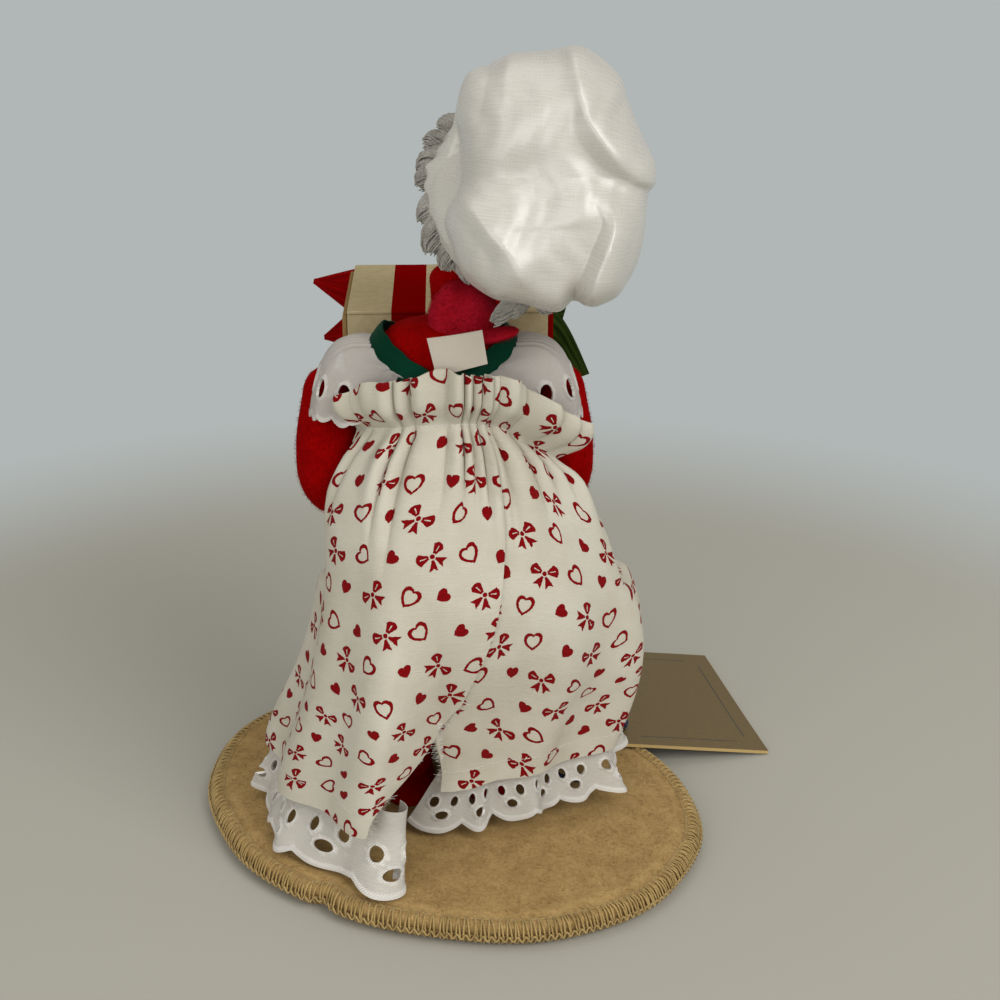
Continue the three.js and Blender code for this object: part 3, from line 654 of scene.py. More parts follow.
class Graph:
    """The node tree of one material."""

    def __init__(self, name: str) -> None:
        """Starts an empty material of that name."""
        self.material = bpy.data.materials.new(name)
        self.material.use_nodes = True
        self.tree = self.material.node_tree
        self.tree.nodes.clear()

    def node(self, kind: str, settings: Optional[Dict] = None, inputs: Optional[Dict] = None,
             out: int = 0) -> Sock:
        """Adds a node.

        Args:
            kind: The node's type.
            settings: Its own settings, which are set first.
            inputs: Values or links of its sockets.
            out: Which output is given back.

        Returns:
            The chosen output.
        """
        made = self.tree.nodes.new(kind)
        for key, value in (settings or {}).items():
            setattr(made, key, value)
        for key, value in (inputs or {}).items():
            if isinstance(value, Sock):
                self.tree.links.new(value.out, made.inputs[key])
            else:
                made.inputs[key].default_value = value
        return Sock(self, made.outputs[out])

    def math(self, operation: str, *values: Value) -> Sock:
        """One Math node on values or links."""
        return self.node("ShaderNodeMath", {"operation": operation}, dict(enumerate(values)))

    def least(self, a: Value, b: Value) -> Sock:
        """The smaller of two."""
        return self.math("MINIMUM", a, b)

    def most(self, a: Value, b: Value) -> Sock:
        """The larger of two."""
        return self.math("MAXIMUM", a, b)

    def position(self) -> Sock:
        """The place on the piece, in millimetres."""
        at = self.node("ShaderNodeTexCoord", out=3)
        return self.scaled(at, (1 / MM,) * 3)

    def cloth(self) -> Sock:
        """The place on the flat cloth, in millimetres."""
        at = self.node("ShaderNodeUVMap", {"uv_map": "UVMap"})
        return self.scaled(at, (UV_MM,) * 3)

    def scaled(self, vector: Sock, factors: Sequence[float]) -> Sock:
        """A vector times three factors."""
        return self.node("ShaderNodeVectorMath", {"operation": "MULTIPLY"}, {0: vector, 1: tuple(factors)})

    def rotated(self, vector: Sock, angle: float) -> Sock:
        """A vector turned about z, in radians."""
        return self.node("ShaderNodeVectorRotate", {"rotation_type": "Z_AXIS"},
                         {"Vector": vector, "Angle": angle})

    def waves(self, x: Sock, pitch: float) -> Sock:
        """Even waves of one pitch in millimetres."""
        return self.math("SINE", x * (TAU / pitch))

    def split(self, vector: Sock) -> List[Sock]:
        """A vector's three numbers."""
        first = self.node("ShaderNodeSeparateXYZ", inputs={0: vector})
        return [Sock(self, out) for out in first.out.node.outputs]

    def join(self, x: Value, y: Value, z: Value = 0.0) -> Sock:
        """A vector from three numbers."""
        return self.node("ShaderNodeCombineXYZ", inputs={0: x, 1: y, 2: z})

    def noise(self, vector: Sock, scale: float, detail: float = 2.0, roughness: float = 0.55) -> Sock:
        """Soft noise about one half, with scale in waves per millimetre."""
        return self.node("ShaderNodeTexNoise", None,
                         {"Vector": vector, "Scale": scale, "Detail": detail, "Roughness": roughness})

    def ramp(self, low: float, high: float, x: Value) -> Sock:
        """A soft step from 0 at low to 1 at high."""
        return self.node("ShaderNodeMapRange", {"interpolation_type": "SMOOTHSTEP"},
                         {"Value": x, "From Min": low, "From Max": high})

    def blend(self, share: Value, a: object, b: object) -> Sock:
        """A colour between a and b, each a link or a hex code."""
        pair = [linear(c) if isinstance(c, str) else c for c in (a, b)]
        return self.node("ShaderNodeMix", {"data_type": "RGBA"}, {0: share, 6: pair[0], 7: pair[1]}, out=2)

    def bump(self, height: Sock, depth: float, strength: float) -> Sock:
        """A surface normal from a height, with its depth in millimetres."""
        return self.node("ShaderNodeBump", None,
                         {"Height": height, "Distance": depth * MM, "Strength": strength})

    def surface(self, **sockets: object) -> bpy.types.Material:
        """Ends the material in one Principled shader; names use _ for a space."""
        inputs = {key.replace("_", " "): value for key, value in sockets.items()}
        return self.end(self.node("ShaderNodeBsdfPrincipled", None, inputs))

    def end(self, shader: Sock) -> bpy.types.Material:
        """Joins the last shader to the material's output."""
        last = self.tree.nodes.new("ShaderNodeOutputMaterial")
        self.tree.links.new(shader.out, last.inputs["Surface"])
        return self.material


# Finishes

@dataclass(frozen=True)
class Finish:
    """A material's name and the record's slot that it fills."""

    name: str
    slot: Slot

    def material(self) -> bpy.types.Material:
        """Builds the material."""
        raise NotImplementedError


@dataclass(frozen=True)
class TwoTone(Finish):
    """A finish whose colour lies between a dark and a light one."""

    dark: str
    light: str


@dataclass(frozen=True)
class Felt(TwoTone):
    """Pressed wool felt: mottled dye, crossed fibres and a soft bloom at the edges."""

    bloom: float = 0.25
    streak: float = 2.6
    gloss: float = 0.1
    brush: float = 0.0
    brush_turn: float = 0.7
    slow: float = 0.45

    def tint(self, g: Graph, at: Sock, colour: Sock) -> Sock:
        """The wool's colour with what is rubbed into it, which is nothing on plain felt."""
        return colour

    def material(self) -> bpy.types.Material:
        """Builds the material."""
        g = Graph(self.name)
        at = g.position()
        mottle = g.noise(at, 0.16, 3)
        fine = self.streak
        ways = (self.slow, fine, fine), (fine, self.slow, fine), (fine, fine, self.slow)
        fibres = [g.noise(g.scaled(at, way), 1.0, 3, 0.65) for way in ways]
        strands = g.most(g.most(fibres[0], fibres[1]), fibres[2])
        wool = g.ramp(0.42, 0.78, strands)
        share = wool * 0.6 + g.ramp(0.3, 0.7, mottle) * 0.4
        if self.brush:
            combed = g.scaled(g.rotated(at, self.brush_turn), (0.4, 2.4, 1.0))
            strokes = g.ramp(0.34, 0.66, g.noise(combed, 1.0, 3, 0.6))
            share = share * (1 - self.brush) + strokes * self.brush
        colour = self.tint(g, at, g.blend(share, self.dark, self.light))
        normal = g.bump(strands + mottle * 0.3, 0.5, 0.55)
        return g.surface(Base_Color=colour, Roughness=0.95, Normal=normal, Sheen_Weight=self.bloom,
                         Sheen_Roughness=0.5, Sheen_Tint=linear(self.light), Specular_IOR_Level=self.gloss)


@dataclass(frozen=True)
class FaceFelt(Felt):
    """Skin felt with a soft rosy patch on each cheek."""

    cheeks: Tuple[Triple, ...] = ()
    rose: str = "#c9766a"

    def tint(self, g: Graph, at: Sock, colour: Sock) -> Sock:
        """The skin's colour with the cheeks rubbed in."""
        for cheek in self.cheeks:
            far = g.node("ShaderNodeVectorMath", {"operation": "DISTANCE"}, {0: at, 1: cheek}, out=1)
            colour = g.blend((1.0 - g.ramp(1.0, 5.5, far)) * 0.6, colour, self.rose)
        return colour


@dataclass(frozen=True)
class Cotton(TwoTone):
    """Plain woven cotton with slubs; a satin one has more shine and a stronger thread line."""

    pitch: float = 0.42
    shine: float = 0.6
    turn: float = 0.0
    slub: float = 0.5
    relief: float = 0.4
    gloss: float = 0.4
    bloom: float = 0.1

    def weave(self, g: Graph, at: Sock) -> Tuple[Sock, Sock]:
        """The height of the weave and the slubs' share at a place on the flat cloth."""
        square = g.rotated(at, self.turn)
        x, y, _ = g.split(square)
        warp, weft = g.waves(x, self.pitch), g.waves(y, self.pitch)
        long = g.noise(g.scaled(square, (0.12, 3.0, 1.0)), 1.0, 3, 0.8)
        tall = g.noise(g.scaled(square, (3.0, 0.16, 1.0)), 1.0, 3, 0.8)
        slub = g.ramp(0.4, 0.7, long) * 0.6 + g.ramp(0.45, 0.75, tall) * 0.3
        return warp * weft * 0.3 + slub, slub

    def material(self) -> bpy.types.Material:
        """Builds the material."""
        g = Graph(self.name)
        height, slub = self.weave(g, g.cloth())
        soft = g.ramp(0.3, 0.7, g.noise(g.position(), 0.05, 2))
        colour = g.blend(slub * self.slub + soft * 0.4, self.dark, self.light)
        rough = 0.28 + 0.3 * slub + (0.6 - self.shine) * 0.5
        return g.surface(Base_Color=colour, Roughness=rough, Normal=g.bump(height, 0.08, self.relief),
                         Sheen_Weight=self.bloom, Sheen_Roughness=0.4, Specular_IOR_Level=self.gloss)


@dataclass(frozen=True)
class PrintedCotton(Cotton):
    """Cream cotton printed with scattered bows, heart outlines and small hearts."""

    ink: str = "#840409"
    deep_ink: str = "#680307"
    pitch_print: float = 8.7
    bow: float = 3.6
    heart: float = 2.1
    heart_hollow: float = 0.66
    spot: float = 1.42
    swing: float = 2.4
    stray: float = 1.8
    bow_stray: float = 0.6
    bleed: float = 0.3

    @staticmethod
    def heart_mask(x: Sock, y: Sock, size: float) -> Sock:
        """One inside a heart of that half width."""
        hx = x * (1.05 / size)
        hy = y * (1.0 / size) + 0.12
        ring = hx * hx + hy * hy - 1.0
        return (ring * ring * ring - hx * hx * hy * hy * hy * 1.3) < 0.0

    @staticmethod
    def bow_mask(g: Graph, x: Sock, y: Sock, size: float) -> Sock:
        """One inside a tied bow: two raised loops with a slit in each, two notched tails and a knot."""
        bx, by = abs(x * (1 / size)), y * (1 / size)
        turn = g.math("ARCTAN2", by, bx) * (180 / math.pi)
        far = g.math("SQRT", bx * bx + by * by)
        lean = abs(turn - 21.0)
        loop = (lean < 28.0) * (far < 0.99 - lean * lean * 0.00018)
        slit = (lean < 3.0) * (far > 0.38) * (far < 0.76)
        off = abs(turn + 62.0)
        tail = (off < 18.0) * (far < off * 0.012 + 0.8)
        fans = g.most(loop - slit, tail) * (far > 0.22)
        return g.most(fans, far < 0.155)

    def motifs(self, g: Graph, at: Sock) -> Sock:
        """One where ink lies on the flat cloth."""
        rough = g.node("ShaderNodeTexNoise", None, {"Vector": at, "Scale": 1.6, "Detail": 1.0}, out=1)
        near = g.node("ShaderNodeVectorMath", {"operation": "MULTIPLY_ADD"},
                      {0: rough, 1: (self.bleed, self.bleed, 0.0), 2: at})
        x, y, _ = g.split(near)
        pitch = self.pitch_print
        row = g.math("FLOOR", y * (1 / pitch))
        x = x + (row % 2.0) * (pitch * 0.5)
        column = g.math("FLOOR", x * (1 / pitch))
        chance = g.node("ShaderNodeTexWhiteNoise", {"noise_dimensions": "2D"},
                        {"Vector": g.join(column, row)}, out=1)
        first, second, third = g.split(chance)
        kind = (column + row * 2.0) % 3.0
        is_bow = kind < 0.5
        is_open = (kind > 0.5) * (kind < 1.5)
        room = self.stray - is_bow * (self.stray - self.bow_stray)
        px = (x % pitch) - pitch / 2 + (second - 0.5) * room
        py = (y % pitch) - pitch / 2 + (third - 0.5) * room
        turn = (first - 0.5) * self.swing + math.pi
        cos, sin = g.math("COSINE", turn), g.math("SINE", turn)
        mx, my = px * cos + py * sin, py * cos - px * sin
        bows = self.bow_mask(g, mx, my, self.bow) * is_bow
        hollow = self.heart_mask(mx, my, self.heart * self.heart_hollow)
        ring = self.heart_mask(mx, my, self.heart) - hollow
        spots = self.heart_mask(mx, my, self.spot) * (kind > 1.5)
        return g.most(g.most(bows, ring * is_open), spots)

    def material(self) -> bpy.types.Material:
        """Builds the material."""
        g = Graph(self.name)
        at = g.cloth()
        height, slub = self.weave(g, at)
        ink = self.motifs(g, at)
        soft = g.ramp(0.3, 0.7, g.noise(g.position(), 0.07, 3))
        ground = g.blend(slub * 0.45 + soft * 0.55, self.dark, self.light)
        worn = g.ramp(0.35, 0.75, g.noise(at, 1.7, 3, 0.7))
        colour = g.blend(ink, ground, g.blend(worn, self.ink, self.deep_ink))
        return g.surface(Base_Color=colour, Roughness=0.82 - 0.12 * slub, Normal=g.bump(height, 0.2, 0.55),
                         Sheen_Weight=0.03, Specular_IOR_Level=0.06)


@dataclass(frozen=True)
class EyeletLace(Finish):
    """Sheer white cotton with satin-stitched rims, from the piece's own stitch attribute."""

    ground: str
    stitch: str
    cover: float
    shade: str = "#c0bbb2"
    pitch: float = 0.42
    floss_pitch: float = 0.36
    holes: float = 0.14

    def material(self) -> bpy.types.Material:
        """Builds the material."""
        g = Graph(self.name)
        at = g.cloth()
        x, y, _ = g.split(at)
        rim = g.node("ShaderNodeAttribute", {"attribute_name": "stitch"}, out=2)
        threads = g.waves(x, self.pitch) * g.waves(y, self.pitch)
        floss = g.waves(x + y * 0.6, self.floss_pitch)
        height = threads * (1.0 - rim) * 0.4 + floss * rim * 0.8 + rim
        slub = g.noise(g.scaled(at, (0.5, 4.0, 1.0)), 1.0, 3)
        gauze = g.ramp(0.35, 0.65, slub) * (1.0 - rim)
        colour = g.blend(gauze * 0.5, g.blend(rim, self.ground, self.stitch), self.shade)
        dense = g.most(rim, g.ramp(0.5, 0.8, slub) * 0.5)
        alpha = g.least(self.cover + dense * (1 - self.cover) + threads * self.holes, 1.0)
        return g.surface(Base_Color=colour, Roughness=0.75 - 0.25 * rim, Alpha=alpha,
                         Normal=g.bump(height + slub, 0.25, 0.8), Sheen_Weight=0.1, Specular_IOR_Level=0.15)


@dataclass(frozen=True)
class Yarn(TwoTone):
    """Spun thread: fine lines along a strand, with painted shade that darkens the hollows between them."""

    rough: float = 0.85
    scale: float = 3.0

    def material(self) -> bpy.types.Material:
        """Builds the material."""
        g = Graph(self.name)
        at = g.position()
        fine = g.noise(at, self.scale, 3, 0.7)
        tone = g.noise(at, 0.3, 2)
        # Painted shade: the colour darkens where the fine noise that also raises the bump is low, in the
        # hollows.
        colour = g.blend(g.ramp(0.32, 0.68, fine * 0.6 + tone * 0.4), self.dark, self.light)
        return g.surface(Base_Color=colour, Roughness=self.rough, Normal=g.bump(fine, 0.25, 0.6),
                         Sheen_Weight=0.2, Specular_IOR_Level=0.2)


@dataclass(frozen=True)
class Ribbon(TwoTone):
    """Satin ribbon with fine ribs across and a slow change of shine."""

    shine: float = 0.38
    rib: float = 0.5

    def material(self) -> bpy.types.Material:
        """Builds the material."""
        g = Graph(self.name)
        at = g.cloth()
        x, _, _ = g.split(at)
        ribs = g.waves(x, self.rib)
        tone = g.noise(g.scaled(at, (0.7, 0.12, 1.0)), 1.0, 3)
        colour = g.blend(g.ramp(0.3, 0.7, tone), self.dark, self.light)
        return g.surface(Base_Color=colour, Roughness=self.shine + 0.2 * tone, Normal=g.bump(ribs, 0.05, 0.4),
                         Specular_IOR_Level=0.02)


@dataclass(frozen=True)
class StripedCard(Finish):
    """Coated carton board, cream with broad red stripes across the box and a raw cut edge."""

    cream: str = "#ad9d78"
    light: str = "#bcae8a"
    red: str = "#720102"
    bright_red: str = "#7e0203"
    left_edge: float = 23.3
    cream_width: float = 10.7
    red_width: float = 8.3
    striped: bool = True

    def material(self) -> bpy.types.Material:
        """Builds the material."""
        g = Graph(self.name)
        at = g.position()
        x, _, _ = g.split(at)
        grain = g.noise(at, 0.5, 4)
        fleck = g.ramp(0.6, 0.75, g.noise(at, 2.2, 2))
        pale = g.blend(g.ramp(0.3, 0.7, grain) * 0.5 + fleck * 0.2, self.cream, self.light)
        colour = pale
        if self.striped:
            step = (self.left_edge - x) % (self.cream_width + self.red_width)
            red = g.blend(grain, self.red, self.bright_red)
            colour = g.blend(step > self.cream_width, pale, red)
        rough = 0.5 + 0.25 * grain
        return g.surface(Base_Color=colour, Roughness=rough, Normal=g.bump(grain, 0.12, 0.35),
                         Specular_IOR_Level=0.0)


@dataclass(frozen=True)
class Kraft(Finish):
    """Kraft card with fibres and a thin printed border; the cut edge is paler."""

    width: float
    length: float
    inset: float = 4.6
    line: float = 0.2
    corner: float = 3.0
    cut: float = 0.02
    dark: str = "#645435"
    light: str = "#74623f"
    ink: str = "#2f3430"
    raw: str = "#b59a63"

    def material(self) -> bpy.types.Material:
        """Builds the material from the card's own flat coordinates."""
        g = Graph(self.name)
        at = g.cloth()
        x, y, _ = g.split(at)
        grain = g.noise(g.scaled(at, (0.5, 1.6, 1.0)), 1.0, 4)
        fleck = g.ramp(0.58, 0.72, g.noise(at, 1.3, 3))
        card = g.blend(g.ramp(0.3, 0.7, grain) * 0.7 + fleck * 0.3, self.dark, self.light)
        edge = g.least(g.least(x, self.width - x), g.least(y, self.length - y))
        line = abs(edge - self.inset) < self.line
        half_x, half_y = self.width / 2, self.length / 2
        short = self.inset + self.corner
        drawn = (abs(x - half_x) < half_x - short) + (abs(y - half_y) < half_y - short)
        inked = g.blend(line * g.least(drawn, 1.0) * 0.75, card, self.ink)
        colour = g.blend(edge < self.cut, inked, self.raw)
        return g.surface(Base_Color=colour, Roughness=0.5 + 0.25 * grain, Normal=g.bump(grain, 0.1, 0.4),
                         Specular_IOR_Level=0.35)


@dataclass(frozen=True)
class Plain(TwoTone):
    """A hidden or small piece's finish, with a little grain."""

    rough: float
    metal: float = 0.0

    def material(self) -> bpy.types.Material:
        """Builds the material."""
        g = Graph(self.name)
        grain = g.noise(g.position(), 1.2, 4)
        colour = g.blend(grain, self.dark, self.light)
        return g.surface(Base_Color=colour, Roughness=self.rough + 0.1 * grain, Metallic=self.metal,
                         Normal=g.bump(grain, 0.05, 0.3))


@dataclass(frozen=True)
class StudioFloor:
    """Pale paper under the doll, which runs out into an evenly lit pale ground."""

    name: str
    near: str
    far: str
    start: float = 190.0
    end: float = 330.0

    def material(self) -> bpy.types.Material:
        """Builds the material from the distance to the doll."""
        g = Graph(self.name)
        at = g.position()
        paper = g.node("ShaderNodeBsdfDiffuse", None, {"Color": linear(self.near)})
        ground = g.node("ShaderNodeEmission", None, {"Color": linear(self.far)})
        reach = g.node("ShaderNodeVectorMath", {"operation": "LENGTH"}, {0: at}, out=1)
        share = g.ramp(self.start, self.end, reach)
        both = g.node("ShaderNodeMixShader", None, {0: share, 1: paper, 2: ground})
        g.material.cycles.emission_sampling = "NONE"
        return g.end(both)


RED_FELT = Felt("Red felt", Slot.RED_FELT, "#7a0101", "#9c0303", bloom=0.05, gloss=0.02)
RASPBERRY_FELT = Felt("Raspberry felt", Slot.RASPBERRY_FELT, "#8e0914", "#b41a2e", bloom=0.12, gloss=0.04)
TAN_FELT = Felt("Tan felt", Slot.TAN_FELT, "#8f7245", "#bd9e69", bloom=0.12, streak=1.8, brush=0.2)
SKIN_FELT = Felt("Skin felt", Slot.SKIN_FELT, "#c79a78", "#d9b08e", bloom=0.2)
CAP_COTTON = Cotton("White cap cotton", Slot.WHITE_COTTON, "#bab5aa", "#cac6bc", pitch=0.4, shine=0.68,
                    turn=0.12, slub=0.6, relief=0.22, gloss=0.9)
TAPE_COTTON = Cotton("Green tape", Slot.GREEN_TAPE, "#032c1d", "#063c28", pitch=0.4, shine=0.1,
                     gloss=0.03, bloom=0.01)
LABEL_COTTON = Cotton("White label", Slot.LABEL, "#b0a596", "#c0b7a8", pitch=0.3, shine=0.45)
SKIRT_PRINT = PrintedCotton("Printed cotton", Slot.PRINT_COTTON, "#beb7a4", "#d0cabb", pitch=0.4)
LACE = EyeletLace("Eyelet lace", Slot.EYELET_LACE, "#e2ddd2", "#f0ebe2", cover=0.7)
SHEER_LACE = EyeletLace("Sheer lace", Slot.EYELET_LACE, "#dcd4cb", "#e8e2d8", cover=0.66)
# Painted shade: the white roving's tones are darkened to grey for the shade that the hair lies in under the
# cap.
HAIR = Yarn("White roving", Slot.WHITE_ROVING, "#7c776f", "#b2ada3", rough=0.9, scale=2.4)
THREAD = Yarn("Overlock thread", Slot.THREAD, "#8a6f3c", "#b99d63", rough=0.7, scale=4.0)
WHITE_THREAD = Yarn("White thread", Slot.WHITE_COTTON, "#bdb8ac", "#dedad0", rough=0.7, scale=5.0)
NAVY = Yarn("Navy cord", Slot.NAVY_CORD, "#0c0d22", "#23244a", rough=0.8, scale=3.0)
RED_RIBBON = Ribbon("Red ribbon", Slot.RED_RIBBON, "#6c0001", "#8c0202", shine=0.5)
GREEN_RIBBON = Ribbon("Green ribbon", Slot.GREEN_RIBBON, "#16240a", "#34481a", shine=0.4)
GIFT_CARD = StripedCard("Striped card", Slot.GIFT_CARD)
RAW_CARD = StripedCard("Raw card", Slot.GIFT_CARD, cream="#8a7048", light="#937850", striped=False)
STEEL = Plain("Wire", Slot.WIRE, "#7b7d80", "#9a9c9f", rough=0.35, metal=1.0)
BOARD = Plain("Board", Slot.BOARD, "#7f7565", "#95897a", rough=0.85)
INK = Plain("Face paint", Slot.THREAD, "#2a1a16", "#3a2822", rough=0.5)
FLOOR = StudioFloor("Floor", "#aeaba0", "#b1b7b6")


def coat(obj: Piece, finish: Finish) -> None:
    """Gives a piece its finish."""
    known = bpy.data.materials.get(finish.name)
    obj.data.materials.clear()
    obj.data.materials.append(known or finish.material())


def dress(obj: Piece, finish: Finish, body: Body, *nodes: str) -> None:
    """Gives a piece its finish and its body, and hides the nodes that it stands for.

    Args:
        obj: The piece.
        finish: Its finish, which knows the record's slot.
        body: The body that it rides on.
        nodes: The nodes that it replaces.
    """
    coat(obj, finish)
    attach(obj, body.value)
    if nodes:
        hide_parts(*nodes)
    LOG.info("%s rides on %s, %d faces", obj.name, body.value, len(obj.data.polygons))


# Sizes that several pieces share, in millimetres
BASE_TOP = 5.6
BASE_LONG, BASE_SHORT, BASE_TURN = 134.0, 109.0, math.radians(-39)
LEG_X, LEG_Y = 10.5, 2.0
FOOT_Z, HIP_Z, WAIST_Z = 5.9, 74.0, 83.88
TORSO_Z, TORSO_W, TORSO_D, TORSO_H = 84.18, 33.0, 27.0, 46.2
NECK, NECK_R = np.array([-4.5, 1.0, 131.58]), 8.4
HEAD_R = 19.5
HEAD_SHAPE = HEAD_R * np.array([1.0, 0.96, 1.03])
ARM_X, ARM_Y, ARM_TOP, ELBOW_Z = 27.7, -3.0, 118.38, 83.48
GIFT_LOW, GIFT_HIGH = np.array([-26.7, -67.5, 89.98]), np.array([23.3, -21.5, 126.48])


def turned(axis: int, degrees: float) -> Array:
    """The rotation about one axis, 0 for x to 2 for z."""
    c, s = math.cos(math.radians(degrees)), math.sin(math.radians(degrees))
    a, b = (axis + 1) % 3, (axis + 2) % 3
    out = np.eye(3)
    out[a, a], out[a, b], out[b, a], out[b, b] = c, -s, s, c
    return out


@dataclass(frozen=True)
class Place:
    """Where a group's own frame lies in the doll's frame."""

    origin: Array
    axes: Array

    def at(self, x: Array, y: Array, z: Array) -> Points:
        """Points of the group's frame in the doll's frame."""
        return self.origin + stack(x, y, z) @ self.axes.T


TAG_PLACE = Place(np.array([-45.0, -17.5, 7.25]), turned(2, 9) @ turned(1, -9.4))
HEAD_PLACE = Place(np.array([-16.0, -3.5, 155.58]), turned(1, -12) @ turned(2, 20))
CAP_AXES = HEAD_PLACE.axes @ turned(0, -55)
CAP_PLACE = Place(HEAD_PLACE.origin + CAP_AXES @ np.array([-1.0, -2.5, 3.5]), CAP_AXES)


# The scene and its pieces

@dataclass
class Studio:
    """The photograph's camera, a plain floor and soft light."""

    place: Triple = (0.0, 378.0, 236.0)
    pitch: float = 21.72
    yaw: float = -1.97
    lens: float = 61.2
    sensor: float = 36.0
    floor_size: float = 6.0
    aim: Triple = (0.0, 0.0, 90.0)
    air: str = "#f4f4f1"
    air_strength: float = 0.48
    lamps: Tuple[Tuple[str, Triple, float, float], ...] = (
        ("Key", (-0.72, 0.8, 0.85), 0.8, 9.9), ("Window", (0.1, -0.3, 1.5), 1.0, 2.2),
        ("Fill", (0.45, 1.05, 0.36), 1.1, 7.4))

    def camera(self) -> None:
        """Sets up the camera."""
        data = bpy.data.cameras.new("Camera")
        data.lens = self.lens
        data.sensor_width = self.sensor
        camera = bpy.data.objects.new("Camera", data)
        bpy.context.scene.collection.objects.link(camera)
        camera.location = Vector(self.place) * MM
        flat, down = math.radians(self.yaw), math.radians(self.pitch)
        ahead = Vector((math.sin(flat) * math.cos(down), -math.cos(flat) * math.cos(down), -math.sin(down)))
        camera.rotation_euler = ahead.to_track_quat("-Z", "Y").to_euler()
        bpy.context.scene.camera = camera

    def lamp(self, name: str, place: Sequence[float], size: float, power: float) -> None:
        """Hangs one square light that is aimed at the doll.

        Args:
            name: The light's name.
            place: Its place in metres.
            size: Its side in metres.
            power: Its power in watts.
        """
        data = bpy.data.lights.new(name, "AREA")
        data.size = size
        data.energy = power
        lamp = bpy.data.objects.new(name, data)
        lamp.location = place
        lamp.rotation_euler = (Vector(self.aim) * MM - Vector(place)).to_track_quat("-Z", "Y").to_euler()
        bpy.context.scene.collection.objects.link(lamp)

    def build(self) -> None:
        """Makes the camera, the lights and the floor."""
        self.camera()
        for lamp in self.lamps:
            self.lamp(*lamp)
        world = bpy.data.worlds.new("Room")
        world.use_nodes = True
        air = world.node_tree.nodes["Background"].inputs
        air[0].default_value, air[1].default_value = linear(self.air), self.air_strength
        bpy.context.scene.world = world
        bpy.context.scene.view_settings.view_transform = "Standard"
        bpy.ops.mesh.primitive_plane_add(size=self.floor_size)
        floor = named(bpy.context.object, "floor")
        floor.data.materials.append(FLOOR.material())


@dataclass
class HangTag:
    """The kraft tag that leans on the base's rim, its knot and the cord from the right ankle."""

    width: float = 43.0
    length: float = 58.0
    card: float = 0.9
    hole: Pair = (2.8, 8.0)
    hole_r: float = 1.3
    cord_r: float = 0.65
    loop_r: float = 7.75
    loop_up: float = 10.6
    gap: float = 0.3
    lay_pitch: float = 3.4
    coil_r: float = 0.6
    coil_size: Triple = (1.25, 0.9, 0.75)
    coil_tilt: float = 2.1
    coil_turn: float = 0.93
    hub_up: float = 1.5
    tuft_r: Pair = (0.24, 0.08)
    link_r: float = 0.42
    tuft: int = 22
    seed: int = 5

    def cord_line(self) -> Points:
        """The cord's middle line, once round the ankle and over the base to the tag."""
        tie = TAG_PLACE.at(self.card + self.gap + self.cord_r, -self.hole[1], self.card / 2)
        loop_z = FOOT_Z + self.loop_up + self.cord_r
        floor = BASE_TOP + self.gap + self.cord_r
        ankle = np.array([-LEG_X, LEG_Y, 0])
        turns = np.radians([-20, 40, 100, 160, 220, 270])
        loop = ankle + stack(self.loop_r * np.cos(turns), self.loop_r * np.sin(turns),
                             loop_z + 0.004 * np.degrees(turns))
        away = ankle + [(-9, -6.5, loop_z - 1), (-15, -5, floor + 3), (-22, -4, floor)]
        home = [(tie[0] + 4, tie[1] + 20, floor), (tie[0] + 2.2, tie[1] + 10, floor + 0.6),
                (tie[0] + 2.4, tie[1] + 2.5, tie[2] - 0.6), tie]
        return curve_points(np.vstack([loop, away, home]), 220)

    def plies(self, line: Points, radius: float, pitch: float) -> List[Points]:
        """Three strands that twist round a line."""
        _, side, up = frames_along(line)
        rolls = [(lengths(line) / pitch * TAU + k * TAU / 3)[:, None] for k in range(3)]
        return [line + radius * (np.cos(roll) * side + np.sin(roll) * up) for roll in rolls]

    def build(self) -> None:
        """Makes the card, the knot with its tuft, and the cord."""
        flat = PiercedSheet("hang_tag_card", self.width, self.length, 0.5)
        card = flat.cut([(self.hole[0], self.hole[1], self.hole_r, self.hole_r)])
        middle = self.card / 2
        flat.lay(card, lambda x, y: TAG_PLACE.at(-x, -y, middle + 0.12 * np.sin(x / 9) * np.sin(y / 13)))
        thicken(edit(card, bpy.ops.mesh.flip_normals), self.card)
        dress(card, Kraft("Kraft card", Slot.KRAFT_CARD, self.width, self.length), Body.TAG, "hang_tag")
        self.knot()
        line = self.cord_line()
        strands = self.plies(line, self.cord_r * 0.5, self.lay_pitch)
        cord = tubes("tag_cord_strands", strands, [self.cord_r * 0.52] * 3, 8)
        dress(cord, NAVY, Body.BASE, "tag_cord")

    def knot(self) -> None:
        """Ties the knot over the hole, with a short tuft of ends."""
        rng = np.random.default_rng(self.seed)
        hub = np.array([-self.hole[0], -self.hole[1], self.card + self.hub_up])
        lines, radii = [], []
        wide, deep, tall = self.coil_size
        t = np.linspace(0, TAU * self.coil_turn, 26)
        for k in range(3):
            tilt = k * self.coil_tilt
            ring = stack(wide * np.cos(t), deep * np.sin(t) * math.cos(tilt), tall * np.sin(t + tilt))
            lines.append(TAG_PLACE.at(*(ring + hub + [0, 0, 0.2]).T))
            radii.append(self.coil_r)
        for _ in range(self.tuft):
            far = hub + np.array([rng.uniform(-1, 1.6), rng.uniform(-5.5, -2.5), rng.uniform(-0.4, 1.6)])
            bend = (hub + far) / 2 + rng.uniform(-0.5, 0.7, 3)
            lines.append(TAG_PLACE.at(*curve_points([hub, bend, far], 7).T))
            radii.append(np.linspace(*self.tuft_r, 7))
        edge, over = (0.45, hub[1], self.card / 2), (-0.9, hub[1], self.card + 0.35)
        lines.append(TAG_PLACE.at(*curve_points([edge, over, hub], 9).T))
        radii.append(self.link_r)
        dress(tubes("tag_knot_tuft", lines, radii, 6), NAVY, Body.TAG, "tag_knot")


